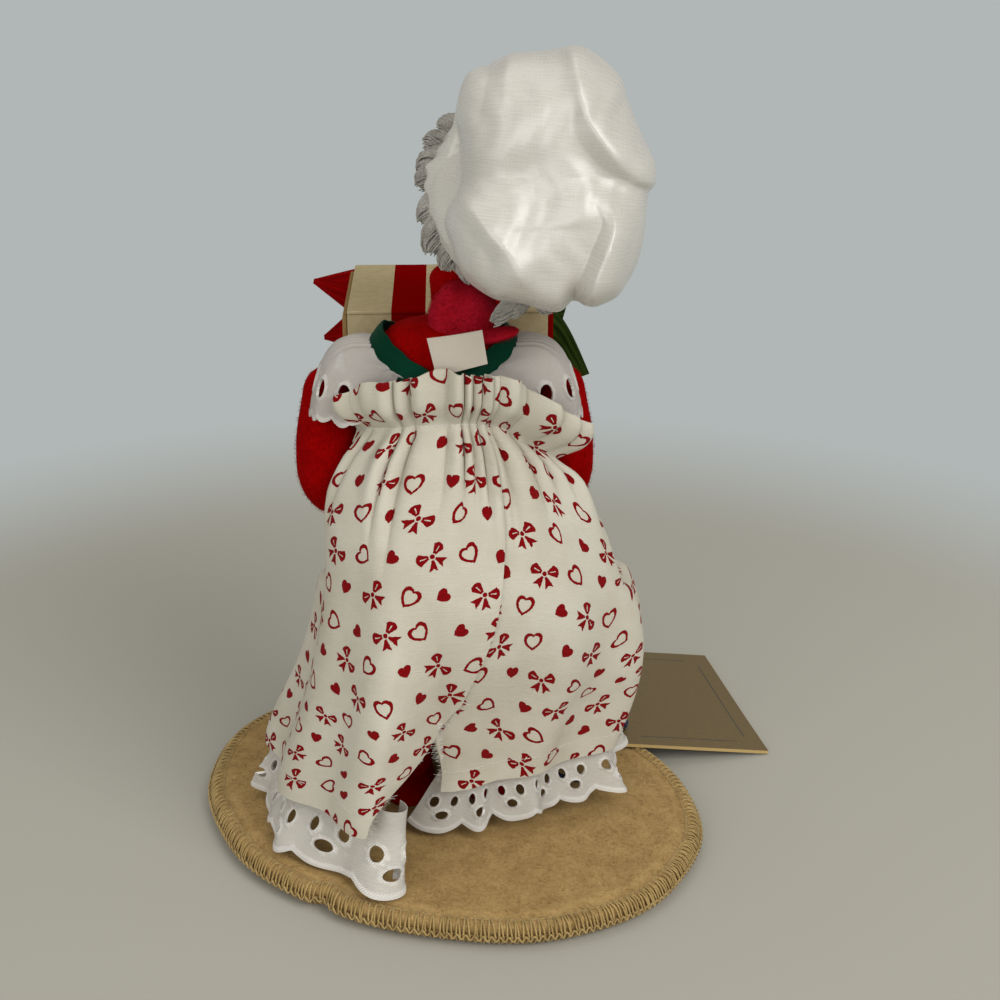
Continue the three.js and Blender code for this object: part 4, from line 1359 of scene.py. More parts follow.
@dataclass
class Base:
    """The oval base: felt over and under a board, overlocked round the edge."""

    rim: float = 3.3
    middle: float = 3.1
    round_off: float = 2.4
    felt_t: float = 1.4
    draw_in: float = 0.4
    skin_in: float = 0.15
    under_gap: float = 0.25
    stitches: int = 200
    thread_r: float = 0.23
    notch_at: float = math.radians(94)
    notch_depth: float = 2.0
    notch_width: float = 0.04
    middle_in: float = 50.0
    leans: Row = (0.0, 0.62)
    jitter: float = 0.1
    seed: int = 3

    def edge(self, angle: Array, inset: Array) -> Tuple[Array, Array]:
        """A place on the outline, at a distance in from it."""
        a, b = BASE_LONG / 2, BASE_SHORT / 2
        out = unit(stack(b * np.cos(angle), a * np.sin(angle), 0))
        notch = self.notch_depth * hump(turn_from(angle, self.notch_at), 0, self.notch_width)
        wave = 0.35 * np.sin(5 * angle + 1) + 0.2 * np.sin(11 * angle)
        back = inset + notch + self.draw_in - wave
        x, y = a * np.cos(angle) - out[..., 0] * back, b * np.sin(angle) - out[..., 1] * back
        c, s = math.cos(BASE_TURN), math.sin(BASE_TURN)
        return x * c - y * s, x * s + y * c

    def top_z(self, angle: Array, inset: Array) -> Array:
        """The upper face's height at a distance in from the edge."""
        roll = rounded(inset / self.round_off)
        puff = 0.22 * hump(inset, 5.2, 1.6) - 0.4 * hump(inset, self.rim, 0.75)
        waves = 0.16 * np.sin(3 * angle + inset / 9) * smooth(4, 14, inset)
        return self.middle + (BASE_TOP - self.middle) * roll + puff + waves

    def felt(self, name: str, top: bool) -> Piece:
        """One felt oval whose edge is drawn to the middle of the rim."""
        def place(turn: Array, rise: Array) -> Points:
            """The oval's skin."""
            part = 1 - np.abs(2 * rise - 1)
            scale = np.clip(part ** 0.8, 0, 1)
            x, y = self.edge(turn, np.full_like(turn, self.skin_in))
            face = self.top_z(turn, (1 - scale) * self.middle_in + self.skin_in)
            z = np.where(rise > 0.5, face, face - self.felt_t)
            return stack(x * scale, y * scale, z if top else 2 * self.middle - z - self.under_gap)

        return ball(name, 160, 96, place)

    def build(self) -> None:
        """Makes both felts with their nap, and the overlock stitches."""
        for name, top in (("base_top_felt", True), ("base_under_felt", False)):
            felt = self.felt(name, top)
            dress(felt, TAN_FELT, Body.BASE, "base_felt_top" if top else "base_felt_bottom")
            if top:
                fibres = Nap(count=16000, length=1.5, width=0.05, lift=0.28, seed=11)
                nap = fibres.grow("base_nap", felt, lambda p, n: n[:, 2] > 0.2)
                dress(nap, TAN_FELT, Body.BASE)
        self.overlock()

    def overlock(self) -> None:
        """Sews the edge: threads from each needle hole over the edge, the loops there and the needle line."""
        rng = np.random.default_rng(self.seed)
        step = TAU / self.stitches
        lines = []
        for i in range(self.stitches):
            base = i * step
            for lean in self.leans:
                t = np.linspace(0, 1, 9)
                angle = base + step * (lean * t + self.jitter * rng.normal())
                inset = self.rim * (1 - np.minimum(t * 1.15, 1)) - 0.25 * smooth(0.7, 1, t)
                x, y = self.edge(angle, inset)
                z = self.top_z(angle, np.maximum(inset, 0.05)) + 0.2 - 0.3 * smooth(0.15, 0, t)
                z = z - 0.9 * smooth(0.8, 1, t)
                lines += [stack(x, y, z), stack(x, y, 2 * self.middle - z)]
            t = np.linspace(0, 1, 9)
            x, y = self.edge(base + step * t, -0.45 - 0.35 * np.sin(math.pi * t))
            lines.append(stack(x, y, 3.0 + 0.6 * np.sin(TAU * t)))
            t = np.linspace(0.06, 0.94, 5)
            x, y = self.edge(base + step * t, np.full(5, self.rim))
            lines.append(stack(x, y, self.top_z(base + step * t, self.rim) + 0.18 * np.sin(math.pi * t)))
        thread = tubes("overlock_thread", lines, [self.thread_r] * len(lines), 6)
        dress(thread, THREAD, Body.BASE, "base_overlock_edge")


@dataclass
class Skirt:
    """The printed skirt: gathered on elastic under a heading, full at the back and slit below its seam."""

    ease: float = 2.6
    heading_share: float = 0.13
    hem_up: float = 17.0
    hem_tilt: float = 3.5
    hem_turn: float = math.radians(50)
    right_hem: float = 41.0
    right_swell: float = 15.5
    back_hem: float = 38.0
    front_hem: float = 36.0
    back_swell: float = 8.0
    skew: float = 0.36
    heading: Pair = (7.0, 13.4)
    lobes: Tuple[Triple, ...] = ((5.5, 150.0, 24.0), (3.2, 30.0, 20.0))
    lap: float = 0.9
    lap_start: float = 0.965
    lap_turn: float = 1.1
    slit_turn: float = 10.0
    slit_run: Pair = (0.76, 0.96)
    sleeve_half: float = 7.3
    dent_front: Pair = (-68.0, -40.0)
    dent_back: Pair = (10.0, 23.0)
    dent_fall: Pair = (11.0, 2.0)
    loose_out: float = 7.5
    loose_at: float = 154.0
    loose_width: float = 13.0
    folds: int = 11
    fold_depth: float = 0.045
    pleats: int = 34
    cloth: float = 0.5
    columns: int = 360
    rows: int = 110
    flat_width: float = 262.0
    flat_length: float = 100.0
    lace_up: float = 5.0
    lace_drop: float = 12.5
    lace_repeat: float = 10.9
    lace_roll: float = 8.5
    roll_r: float = 3.2
    lace_past: float = 0.93
    lace_more: float = 5.5
    lace_last: float = 0.985
    lace_in: float = 1.9
    lace_flare: float = 0.6
    lace_swing: float = 4.5
    swing_turns: Pair = (60.0, 84.0)
    first_fade: float = 42.0
    first_in: float = 2.0
    first_turn: float = -26.0
    lace_t: float = 0.7
    lace_cell: float = 0.5
    scallop: float = 2.0
    print_left: float = 340.0
    print_down: float = 13.0
    print_step: float = 4.0
    print_heading: float = 0.35
    print_ease: float = 0.4
    seam_right: Pair = (19.0, 30.0)
    seam_left: Pair = (19.0, 44.0)
    even: int = 14
    lace_eyelets: Tuple[Tuple[float, float, float, float], ...] = (
        (0.0, 4.6, 1.45, 1.15), (-2.6, 8.0, 1.1, 1.4), (2.6, 8.0, 1.1, 1.4))
    frayed: int = 150
    fray_run: Pair = (0.68, 0.995)
    fray_long: Pair = (0.5, 1.8)
    fray_r: Pair = (0.1, 0.04)
    seed: int = 8
    waist_turns: Row = (
        -90.0, 0.0, 41.0, 77.0, 110.0, 124.0, 139.0, 149.0, 159.0, 180.0, 225.0)
    waist_heights: Row = (
        97.5, 104.5, 107.5, 110.0, 110.4, 108.8, 106.5, 102.0, 96.5, 95.5, 96.0)
    seam_runs: Row = (0.0, 0.25, 0.5, 0.7, 0.78, 0.9, 1.0)
    seam_turns: Row = (113.0, 108.0, 101.0, 92.0, 83.0, 77.0, 75.0)
    left_runs: Row = (0.0, 0.1, 0.22, 0.4, 0.6, 0.74, 0.92, 1.0)
    left_widths: Row = (19.1, 26.0, 30.0, 30.2, 33.2, 36.5, 43.5, 45.5)
    hem_turns: Row = (
        -90.0, 0.0, 40.0, 60.0, 67.0, 75.0, 84.0, 94.0, 109.0, 136.0, 160.0, 200.0)
    hem_reach: Row = (
        1.0, 1.0, 0.98, 1.0, 1.02, 0.84, 0.6, 0.6, 0.68, 0.79, 0.97, 1.0)

    def waist_z(self, angle: Array) -> Array:
        """The gather line's height."""
        return eased(np.degrees(angle), self.waist_turns, self.waist_heights, 6, 360)

    def hem_z(self, angle: Array) -> Array:
        """The hem's height."""
        return BASE_TOP + self.hem_up - self.hem_tilt * np.cos(angle - self.hem_turn)

    def arm_dent(self, angle: Array, z: Array) -> Array:
        """How far the arm presses the cloth to the waist, from 0 to 1."""
        elbow = ELBOW_Z - self.sleeve_half
        from_side = 90 - np.abs((np.degrees(angle) + 90) % 360 - 180)
        beside = smooth(*self.dent_front, from_side) * (1 - smooth(*self.dent_back, from_side))
        return smooth(elbow - self.dent_fall[0], elbow - self.dent_fall[1], z) * beside

    def behind_arm(self, angle: Array) -> Array:
        """How far the loose waist stands out behind the right arm."""
        return self.loose_out * hump(np.degrees(angle) % 360, self.loose_at, self.loose_width)

    def radii(self, angle: Array, part: Array) -> Tuple[Array, Array]:
        """Half widths across and along at a part of the way from waist to hem."""
        run = np.maximum(part, 0)
        swell = np.sin(math.pi * np.minimum(run, 1))
        left, back = np.cos(angle) > 0, np.sin(angle) > 0
        full = eased(run, self.left_runs, self.left_widths, 0.03)
        right = mix(TORSO_W / 2 + self.ease, self.right_hem, run) + self.right_swell * swell
        wide = np.where(left, full, right)
        deep = mix(TORSO_D / 2 + self.ease, np.where(back, self.back_hem, self.front_hem), run)
        deep = deep + np.where(back, self.back_swell, 0) * swell
        skew = 1 + self.skew * run * np.cos(angle) * np.maximum(np.sin(angle), 0)
        tuck = np.interp(np.degrees(angle), self.hem_turns, self.hem_reach, period=360)
        tuck = mix(1, tuck, smooth(0.35, 1, run))
        return wide * tuck, deep * skew * tuck

    def point(self, angle: Array, z: Array, inward: Array = 0.0) -> Points:
        """A place on the hanging cloth."""
        part = (self.waist_z(angle) - z) / (self.waist_z(angle) - self.hem_z(angle))
        rx, ry = self.radii(angle, part)
        waist_x, waist_y = self.radii(angle, np.zeros_like(part))
        dent = self.arm_dent(angle, z)
        fold = 1 + self.fold_depth * smooth(0, 1, part) * np.cos(self.folds * angle + 0.6)
        loose = self.behind_arm(angle) * (1 - smooth(0, 0.45, part))
        x = mix(rx * fold, waist_x, dent) - inward + loose
        y = mix(ry * fold, waist_y, dent) - inward + loose
        return stack(-0.8 * (1 - dent) + x * np.cos(angle), y * np.sin(angle), z)

    def slit_angle(self, u: Array, part: Array) -> Array:
        """The direction at a part of the cloth's width; the edges lap above the slit and part below it."""
        seam = np.interp(part, self.seam_runs, self.seam_turns)
        half = self.parting(part)
        return np.radians(seam + half + u * (360 - 2 * half))

    def parting(self, part: Array) -> Array:
        """How far each edge stands off the seam's line, in degrees."""
        return -self.lap_turn + self.slit_turn * smooth(*self.slit_run, part)

    def gathers(self, u: Array, part: Array) -> Array:
        """How far the small pleats stand out on both sides of the elastic."""
        phase = TAU * (self.pleats * u + 0.9 * np.sin(TAU * 3 * u) + 0.5 * np.sin(TAU * 8 * u + 1))
        wave = 1.8 * np.abs(np.cos(phase / 2)) ** 0.7 - 1.2 + 0.5 * np.cos(phase * 0.31 + 2)
        reach = 0.75 + 0.25 * np.sin(TAU * 7 * u + 0.5)
        fade = smooth(0.05, 0.4, part / reach)
        below = 1.35 * smooth(0, 0.04, part) * (1 - fade) - 0.55 * fade
        return wave * (0.55 + np.where(part > 0, below, 0.9 * smooth(0, 0.06, -part)))

    def surface(self, u: Array, v: Array) -> Points:
        """The whole cloth, from the heading's edge at v 0 to the hem at v 1."""
        share = self.heading_share
        part = (v - share) / (1 - share)
        up = np.clip(1 - v / share, 0, 1)
        angle = self.slit_angle(u, part)
        z = mix(self.waist_z(angle), self.hem_z(angle), np.maximum(part, 0))
        loose = 1 - self.arm_dent(angle, z)
        back = smooth(-0.15, 0.6, np.sin(angle))
        puff = back * smooth(0, 0.07, np.abs(part)) * (2.2 - 1.2 * smooth(0.1, 0.4, part))
        pleat = self.gathers(u, part) * mix(0.35, 1, loose) + puff
        lap = self.lap * smooth(self.lap_start, 1, u)
        point = self.point(angle, z, -pleat - lap)
        turn = np.degrees(angle) % 360
        lobes = sum(height * hump(turn, at, wide) for height, at, wide in self.lobes)
        ruffle = 1 + 0.22 * np.cos(15 * angle) + 0.14 * np.cos(23 * angle + 1)
        out = (0.3 + back * 1.6 + lobes) * np.sin(up * 1.9) * ruffle
        rise = mix(*self.heading, np.maximum(np.sin(angle), 0)) * up
        edge = 0.8 * np.sin(9 * angle + 0.7) * up * back
        return point + stack(out * np.cos(angle), out * np.sin(angle), rise + edge)

    def lace_surface(self, u: Array, v: Array) -> Points:
        """The lace under the hem, from its seam at v 0 to its edge at v 1."""
        first = np.exp(-u * self.first_fade)
        bend = 1 - self.lace_roll / self.flat_width
        over = np.maximum(u - bend, 0) * self.flat_width / self.roll_r
        u = np.minimum(u, bend) + np.sin(over) * self.roll_r / self.flat_width
        past = np.maximum(u - self.lace_past, 0) * self.lace_more
        angle = self.slit_angle(np.minimum(u, self.lace_last), np.ones_like(u))
        z = mix(self.hem_z(angle) + self.lace_up, self.hem_z(angle) - self.lace_drop, v)
        low = smooth(0.25, 1, v)
        wave = low * (1.1 * np.sin(TAU * 19 * u + 0.8 * np.sin(TAU * 4 * u)) + 0.6 * np.sin(TAU * 31 * u + 2))
        swing = self.lace_swing * low * (1 - smooth(*self.swing_turns, np.degrees(angle) % 360))
        inward = self.roll_r * (1 - np.cos(over))
        under = self.lace_in - wave - swing - self.lace_flare * low
        at = self.point(angle, z, under + inward + self.first_in * first * v)
        shift = np.radians(self.first_turn * first * v) + past
        c, s = np.cos(shift), np.sin(shift)
        return stack(at[:, 0] * c - at[:, 1] * s, at[:, 0] * s + at[:, 1] * c, at[:, 2])

    def print_map(self, obj: Piece, uv: Points) -> None:
        """Lays the print evenly on the cloth, measured along the cloth from the seam to both sides."""
        share = self.heading_share
        v = np.linspace(0, 1, self.rows + 1)[:, None]
        flat_top = sampled(self.columns, self.rows,
                           lambda u, w: self.surface(u, np.where(w < share, self.print_heading * share, w)))
        run = lengths(flat_top, 1)
        run = mix(run[:1], run, smooth(share, share + self.print_ease, v))
        fall = lengths(sampled(self.columns, self.rows, self.surface))
        fall -= fall[round(share * self.rows)]
        wide = np.pad(fall, ((0, 0), (self.even, self.even)), mode="edge")
        window = 2 * self.even + 1
        fall = sum(wide[:, k:k + self.columns + 1] for k in range(window)) / window
        row, column = crossings(uv, self.columns, self.rows)
        ahead, whole = run[row, column], run[row, -1]
        corners = corners_of(obj)
        late = np.repeat(uv[corners, 0].reshape(-1, 4).mean(1) > 0.5, 4)
        part = np.clip((row / self.rows - share) / (1 - share), 0, 1)
        seam = np.radians(np.interp(part, self.seam_runs, self.seam_turns) - 90)
        half = np.radians(self.parting(part))
        right = ahead + (seam + half) * mix(*self.seam_right, part)
        left = ahead - whole + self.print_left + (seam - half) * mix(*self.seam_left, part)
        across = np.where(late, left[corners], right[corners])
        along = fall[row, column][corners] + self.print_down + np.where(late, self.print_step, 0)
        set_corner_uv(obj, np.stack([across, along], 1))

    def build(self) -> None:
        """Makes the skirt, its lace, the shirring over the elastic and the frayed slit."""
        skirt, uv = grid("skirt_cloth", self.columns, self.rows, self.surface)
        self.print_map(skirt, uv)
        thicken(skirt, self.cloth)
        dress(skirt, SKIRT_PRINT, Body.TORSO, "skirt")
        self.hem_lace()
        self.stitches("waist_shirring", self.heading_share, 110, 0.24, "waist_elastic")
        self.stitches("hem_stitches", 0.945, 150, 0.1)
        self.fray()

    def hem_lace(self) -> None:
        """Cuts the eyelet lace and hangs it inside the hem."""
        wide, long = self.flat_width, self.lace_up + self.lace_drop
        flat = PiercedSheet("hem_eyelet_lace", wide, long, self.lace_cell)
        holes = []
        for k in range(int(wide / self.lace_repeat)):
            middle = (k + 0.5) * self.lace_repeat
            holes += [(middle + across, long - up, rx, ry) for across, up, rx, ry in self.lace_eyelets]
        lace = flat.cut(holes, flat.scallops(self.lace_repeat, self.scallop))
        flat.lay(lace, lambda x, y: self.lace_surface(x / wide, y / long))
        thicken(lace, self.lace_t, "stitch")
        dress(lace, LACE, Body.TORSO, "hem_lace")

    def stitches(self, name: str, v: float, count: int, radius: float, node: str = "") -> None:
        """Sews one row of short white stitches round the skirt.

        Args:
            name: The row's name.
            v: Where the row lies on the cloth.
            count: How many stitches it has.
            radius: The thread's radius.
            node: The node that it stands for.
        """
        lines = []
        for k in range(count):
            u = (k + np.linspace(0.14, 0.86, 5)) / count
            at = self.surface(u, np.full(5, v))
            out = unit(at * [1, 1, 0])
            lines.append(at + out * (0.26 + 0.12 * np.sin(np.linspace(0, math.pi, 5)))[:, None])
        dress(tubes(name, lines, [radius] * count, 4), WHITE_THREAD, Body.TORSO, *([node] if node else []))

    def fray(self) -> None:
        """Loose threads at the raw edges of the slit."""
        rng = np.random.default_rng(self.seed)
        lines, radii = [], []
        for _ in range(self.frayed):
            side = rng.choice([0.0, 1.0])
            v = np.array([rng.uniform(*self.fray_run)])
            edge = self.surface(np.array([side]), v)[0]
            inner = self.surface(np.array([abs(side - 0.01)]), v)[0]
            end = edge + unit(edge - inner) * rng.uniform(*self.fray_long) + rng.normal(0, 0.35, 3)
            lines.append(curve_points([inner, edge, (edge + end) / 2 + rng.normal(0, 0.2, 3), end], 7))
            radii.append(np.linspace(*self.fray_r, 7))
        dress(tubes("slit_threads", lines, radii, 4), WHITE_THREAD, Body.TORSO)


@dataclass
class Collar:
    """The green tape round the neckline, a lace flounce over each shoulder and the blank sewn label."""

    tape_w: float = 5.4
    tape_t: float = 0.8
    tape_long: float = 112.0
    stand: float = 1.1
    narrow: float = 0.86
    neck_rise: Pair = (0.74, 0.93)
    flounce: float = 21.0
    flounce_turns: Pair = (65.0, -36.0)
    right_more: float = 1.2
    lace_w: float = 42.0
    lace_l: float = 24.0
    lace_t: float = 0.6
    lace_cell: float = 0.42
    eyelets: int = 6
    eyelet: Pair = (1.5, 1.9)
    eyelet_up: float = 8.4
    eyelet_step: float = 0.7
    scallops: int = 10
    scallop: float = 1.2
    label_w: float = 12.6
    label_l: float = 10.0
    label_t: float = 0.4
    label_corners: Tuple[Tuple[Triple, ...], ...] = (
        ((3.7, 15.6, 130.2), (-8.5, 15.6, 132.0)), ((1.7, 16.6, 121.9), (-9.7, 16.6, 124.5)))

    def neckline(self, angle: Array, out: float) -> Points:
        """The neckline at a direction."""
        rise = np.abs(np.cos(angle)) ** 1.3
        wide = mix(TORSO_W / 2, self.narrow * TORSO_W / 2, rise) + self.stand + out
        deep = TORSO_D / 2 + self.stand + out
        z = TORSO_Z + TORSO_H * mix(*self.neck_rise, rise)
        return stack(wide * np.cos(angle), deep * np.sin(angle), z)

    def section(self, angle: Array) -> Tuple[Points, Points]:
        """The tape's face direction and the direction over its width, down and out, at a direction."""
        along = unit(self.neckline(angle + 0.01, 0) - self.neckline(angle - 0.01, 0))
        out = stack(np.cos(angle), np.sin(angle), 0.25 + 0.5 * np.abs(np.cos(angle)))
        normal = unit(out - along * (out * along).sum(-1, keepdims=True))
        return normal, np.cross(along, normal)

    def tape(self) -> Piece:
        """The tape's closed loop with soft edges."""
        def place(u: Array, v: Array) -> Points:
            """The tape over its run and round its section."""
            angle, roll = u * TAU, v * TAU
            normal, width = self.section(angle)
            flat, thick = (np.sign(s) * np.abs(s) ** 0.5 for s in (np.cos(roll), np.sin(roll)))
            groove = 1 - 0.35 * hump(np.abs(flat), 0.72, 0.09)
            uneven = 1 + 0.05 * np.sin(17 * angle)
            return (self.neckline(angle, self.tape_t / 2) + width * (flat * self.tape_w / 2 * uneven)[:, None]
                    + normal * (thick * self.tape_t / 2 * groove)[:, None])

        tape, uv = grid("neckline_tape_loop", 220, 40, place)
        set_uv(tape, uv * [self.tape_long, 2 * self.tape_w])
        return outward(tape)

    def flounce_surface(self, side: int) -> Surface:
        """One flounce from its seam at v 0 to its edge at v 1."""
        def place(u: Array, v: Array) -> Points:
            """The flounce's cloth."""
            angle = np.radians(mix(*self.flounce_turns, u))
            inner = self.neckline(angle, 0.3) + self.section(angle)[1] * 2.2
            ruffle = 1 + 0.03 * v * np.cos(u * 10 * math.pi)
            short = 1 - 0.5 * smooth(0.75, 1.13, angle)
            full = self.flounce + (self.right_more if side < 0 else 0)
            reach = full * np.cos(angle * 0.96) ** 0.5 * ruffle * short
            bend = math.pi / 2 * v ** 0.8
            away = 0.2 * angle
            snug = mix(0.68, 0.42, smooth(0.35, 1.0, angle))
            out = snug * reach * np.sin(bend) + 0.4 * v * np.sin(u * 26 + 1)
            drop = 0.83 * reach * (1 - np.cos(bend))
            puff = 2.0 * np.sin(math.pi * np.minimum(v / 0.7, 1)) + 0.35 * v * np.sin(u * 21)
            crimp = 0.2 * np.maximum(1 - v, 0) ** 1.5 * np.sin(u * 60 + 4 * np.sin(u * 11))
            under = 3.2 * v * smooth(0.3, 0.9, angle)
            return stack(side * (inner[:, 0] + out * np.cos(away)), inner[:, 1] + out * np.sin(away) - under,
                         inner[:, 2] + 0.3 - drop + puff + crimp)
        return place

    def build(self) -> None:
        """Makes the tape, both flounces and the label."""
        tape = self.tape()
        dress(tape, TAPE_COTTON, Body.TORSO, "neckline_tape")
        wide, long = self.lace_w, self.lace_l
        rows = [long - self.eyelet_up - self.eyelet_step * (k % 2) for k in range(self.eyelets)]
        holes = [((k + 0.5) * wide / self.eyelets, y, *self.eyelet) for k, y in enumerate(rows)]
        for name, side in (("left", 1), ("right", -1)):
            flat = PiercedSheet(f"{name}_flounce", wide, long, self.lace_cell)
            lace = flat.cut(holes, flat.scallops(wide / self.scallops, self.scallop))
            flat.lay(lace, lambda x, y: self.flounce_surface(side)(x / wide, y / long))
            thicken(lace, self.lace_t, "stitch")
            dress(lace, SHEER_LACE, Body.TORSO, f"{name}_shoulder_lace")
        self.label()

    def label(self) -> None:
        """The blank woven label, sewn in at its upper edge."""
        wide, long = self.label_w, self.label_l
        corners = np.array(self.label_corners)

        def place(u: Array, v: Array) -> Points:
            """The label's cloth."""
            top, low = (mix(row[0], row[1], u[:, None]) for row in corners)
            at = mix(top, low, v[:, None])
            at[:, 1] += 0.5 * np.sin(math.pi * u) + 0.25 * np.sin(u * 5 + 1) * v
            return at

        label, uv = grid("sewn_label_cloth", 40, 30, place)
        set_uv(label, uv * [wide, long])
        thicken(label, self.label_t)
        dress(label, LABEL_COTTON, Body.TORSO, "sewn_label")


@dataclass
class Figure:
    """The stuffed felt body: torso, shoulders, neck, hips, legs, feet, arms and hands."""

    seed: int = 21
    pressure: float = 3.0
    stretch: float = 0.5
    trunk_rise: Row = (0.0, 0.05, 0.25, 0.6, 0.78, 0.9, 0.97, 1.0)
    trunk_width: Row = (0.86, 0.96, 1.0, 1.0, 1.0, 0.9, 0.68, 0.46)
    trunk_end: float = 0.04
    shoulder: float = 23.4
    hip_size: Triple = (17.0, 13.5, 13.0)
    foot_size: Triple = (6.8, 12.5, 9.0)
    heel: float = 5.5
    forearm: float = 32.0
    arm_in: float = math.radians(10)
    firm: float = 0.7
    soft: float = 0.6
    fibre: Triple = (1.1, 0.04, 0.5)

    def stuffed(self, obj: Piece, finish: Felt, body: Body, nodes: Sequence[str],
                fibres: int) -> None:
        """Fills a felt skin, dresses it and grows its nap."""
        swell(obj, self.pressure, self.stretch)
        dress(obj, finish, body, *nodes)
        self.seed += 1
        if fibres:
            nap = Nap(fibres, *self.fibre, self.seed).grow(f"{obj.name}_nap", obj)
            dress(nap, finish, body)

    def torso(self) -> None:
        """The trunk and the shoulder roll that carries the arms."""
        def place(turn: Array, part: Array) -> Points:
            """The trunk's skin."""
            r = np.interp(part, self.trunk_rise, self.trunk_width)
            r = r * rounded(np.minimum(part, 1 - part) / self.trunk_end)
            x, y = r * TORSO_W / 2 * np.cos(turn), r * TORSO_D / 2 * np.sin(turn)
            return stack(x, y, TORSO_Z + part * TORSO_H)

        trunk = ball("torso_felt", 64, 60, place)
        self.stuffed(trunk, RED_FELT, Body.TORSO, ["torso"], 3500)
        knots = ((-self.shoulder, 1.2), (0, 4), (self.shoulder, 1.2))
        line = curve_points([(x, ARM_Y, ARM_TOP - drop) for x, drop in knots], 40)
        roll = sweep("shoulder_roll", line, lambda s: 3.0 + 0.5 * np.sin(math.pi * s), 24, 40, 1.9)
        self.stuffed(roll, RED_FELT, Body.TORSO, [], 600)

    def neck(self) -> None:
        """The neck on which the head turns, its lobe at the nape and the wing of felt beside it."""
        def place(turn: Array, part: Array) -> Points:
            """The lobe's skin, squarer than a ball and folded once across."""
            way = globe(turn, part)
            square = 0.94 / np.maximum((np.abs(way) ** 2.8).sum(-1), 1e-9) ** (1 / 2.8)
            fold = hump(way[:, 2] - 0.5 * way[:, 0], 0.25, 0.13)
            slim = stack(1 - 0.2 * smooth(-0.2, 1, way[:, 2]), 1, 1)
            return NECK + slim * way * (NECK_R * (square - 0.07 * fold + 0.02 * np.sin(3 * turn)))[:, None]

        lobe = ball("neck_lobe", 64, 48, place)
        self.stuffed(lobe, RASPBERRY_FELT, Body.NECK, ["neck_ball"], 3200)
        line = curve_points([(-1.0, 6.0, 127.4), (-10.0, 7.6, 128.0), (-17.2, 6.4, 129.4)], 24)
        wing = sweep("neck_wing", line, lambda s: 4.4 - 2.0 * s, 24, 28, 0.42)
        self.stuffed(wing, RASPBERRY_FELT, Body.TORSO, [], 500)
        line = curve_points([(-2.6, -5.0, 124.0), (-2.2, -5.0, 133.0), (-1.8, -5.0, 142.0)], 24)
        column = sweep("neck_column", line, lambda s: 5.2 + 0.5 * s, 32, 28, 0.9, 0.6)
        self.stuffed(column, RED_FELT, Body.NECK, [], 700)

    def legs(self) -> None:
        """Hips, and a leg and a foot on each side."""
        def hip_skin(turn: Array, part: Array) -> Points:
            """The hips' skin, flat where the torso turns on it."""
            at = globe(turn, part) * self.hip_size + [0, LEG_Y, HIP_Z]
            at[:, 2] = np.minimum(at[:, 2], WAIST_Z)
            return at

        self.stuffed(ball("hips_felt", 48, 32, hip_skin), RED_FELT, Body.BASE, ["hips"], 0)
        for name, x in (("left", LEG_X), ("right", -LEG_X)):
            line = curve_points([(x, LEG_Y, FOOT_Z + 5), (x, LEG_Y, 40), (x, LEG_Y, HIP_Z - 2)], 40)
            leg = sweep(f"{name}_leg_felt", line, lambda s: 6 + 2.2 * s + 0.5 * np.sin(9 * s), 32, 48)
            self.stuffed(leg, RED_FELT, Body.BASE, [f"{name}_leg"], 500)

            def foot_skin(turn: Array, part: Array) -> Points:
                """The foot's skin, flat below."""
                at = globe(turn, part) * self.foot_size + [x, LEG_Y - self.heel, 0]
                at[:, 2] = FOOT_Z + np.maximum(at[:, 2], 0) + 0.01 * part
                return at

            foot = ball(f"{name}_foot_felt", 40, 32, foot_skin)
            self.stuffed(foot, RED_FELT, Body.BASE, [f"{name}_foot"], 500)

    def arms(self) -> None:
        """A bent sleeve and a mitten hand on each side."""
        for name, side, body in (("left", 1, Body.LEFT_ARM), ("right", -1, Body.RIGHT_ARM)):
            elbow = np.array([side * ARM_X, ARM_Y, ELBOW_Z])
            ahead = np.array([-side * math.sin(self.arm_in), -math.cos(self.arm_in), 0])
            wrist = elbow + ahead * self.forearm
            line = curve_points([elbow + [0, 0, 34.6], elbow + [0, 0, 18], elbow + [0, 0.2, 8.6],
                                 elbow + ahead * 3.8 + [0, 0, 3.0], elbow + ahead * 12, wrist], 90)

            def thick(s: Array) -> Array:
                """The sleeve's radius along its length."""
                upper = 4.9 + 2.7 * smooth(0, 0.32, s)
                return upper - 1.7 * smooth(0.38, 0.6, s) - 0.3 * smooth(0.7, 1, s)

            sleeve = sweep(f"{name}_sleeve", line, thick, 44, 90)
            self.stuffed(sleeve, RED_FELT, body, [f"{name}_upper_arm", f"{name}_forearm"], 3200)
            palm = wrist + ahead * 2.1
            hand = curve_points([palm - ahead * 5, palm, palm + ahead * 7.5], 30)
            mitten = sweep(f"{name}_mitten", hand, lambda s: 5.0 + 0.6 * np.sin(math.pi * s), 32, 32, 0.85)
            self.stuffed(mitten, SKIN_FELT, body, [f"{name}_hand"], 500)
            root = palm + [-side * 4.2, 1.5, -0.3]
            line = curve_points([root, root + ahead * 3 + [-side * 1.0, 0, 0], root + ahead * 5.5], 16)
            thumb = sweep(f"{name}_thumb", line, lambda s: np.full_like(s, 2.3), 20, 20)
            self.stuffed(thumb, SKIN_FELT, body, [], 0)

    def build(self) -> None:
        """Makes every stuffed piece below the head."""
        self.torso()
        self.neck()
        self.legs()
        self.arms()


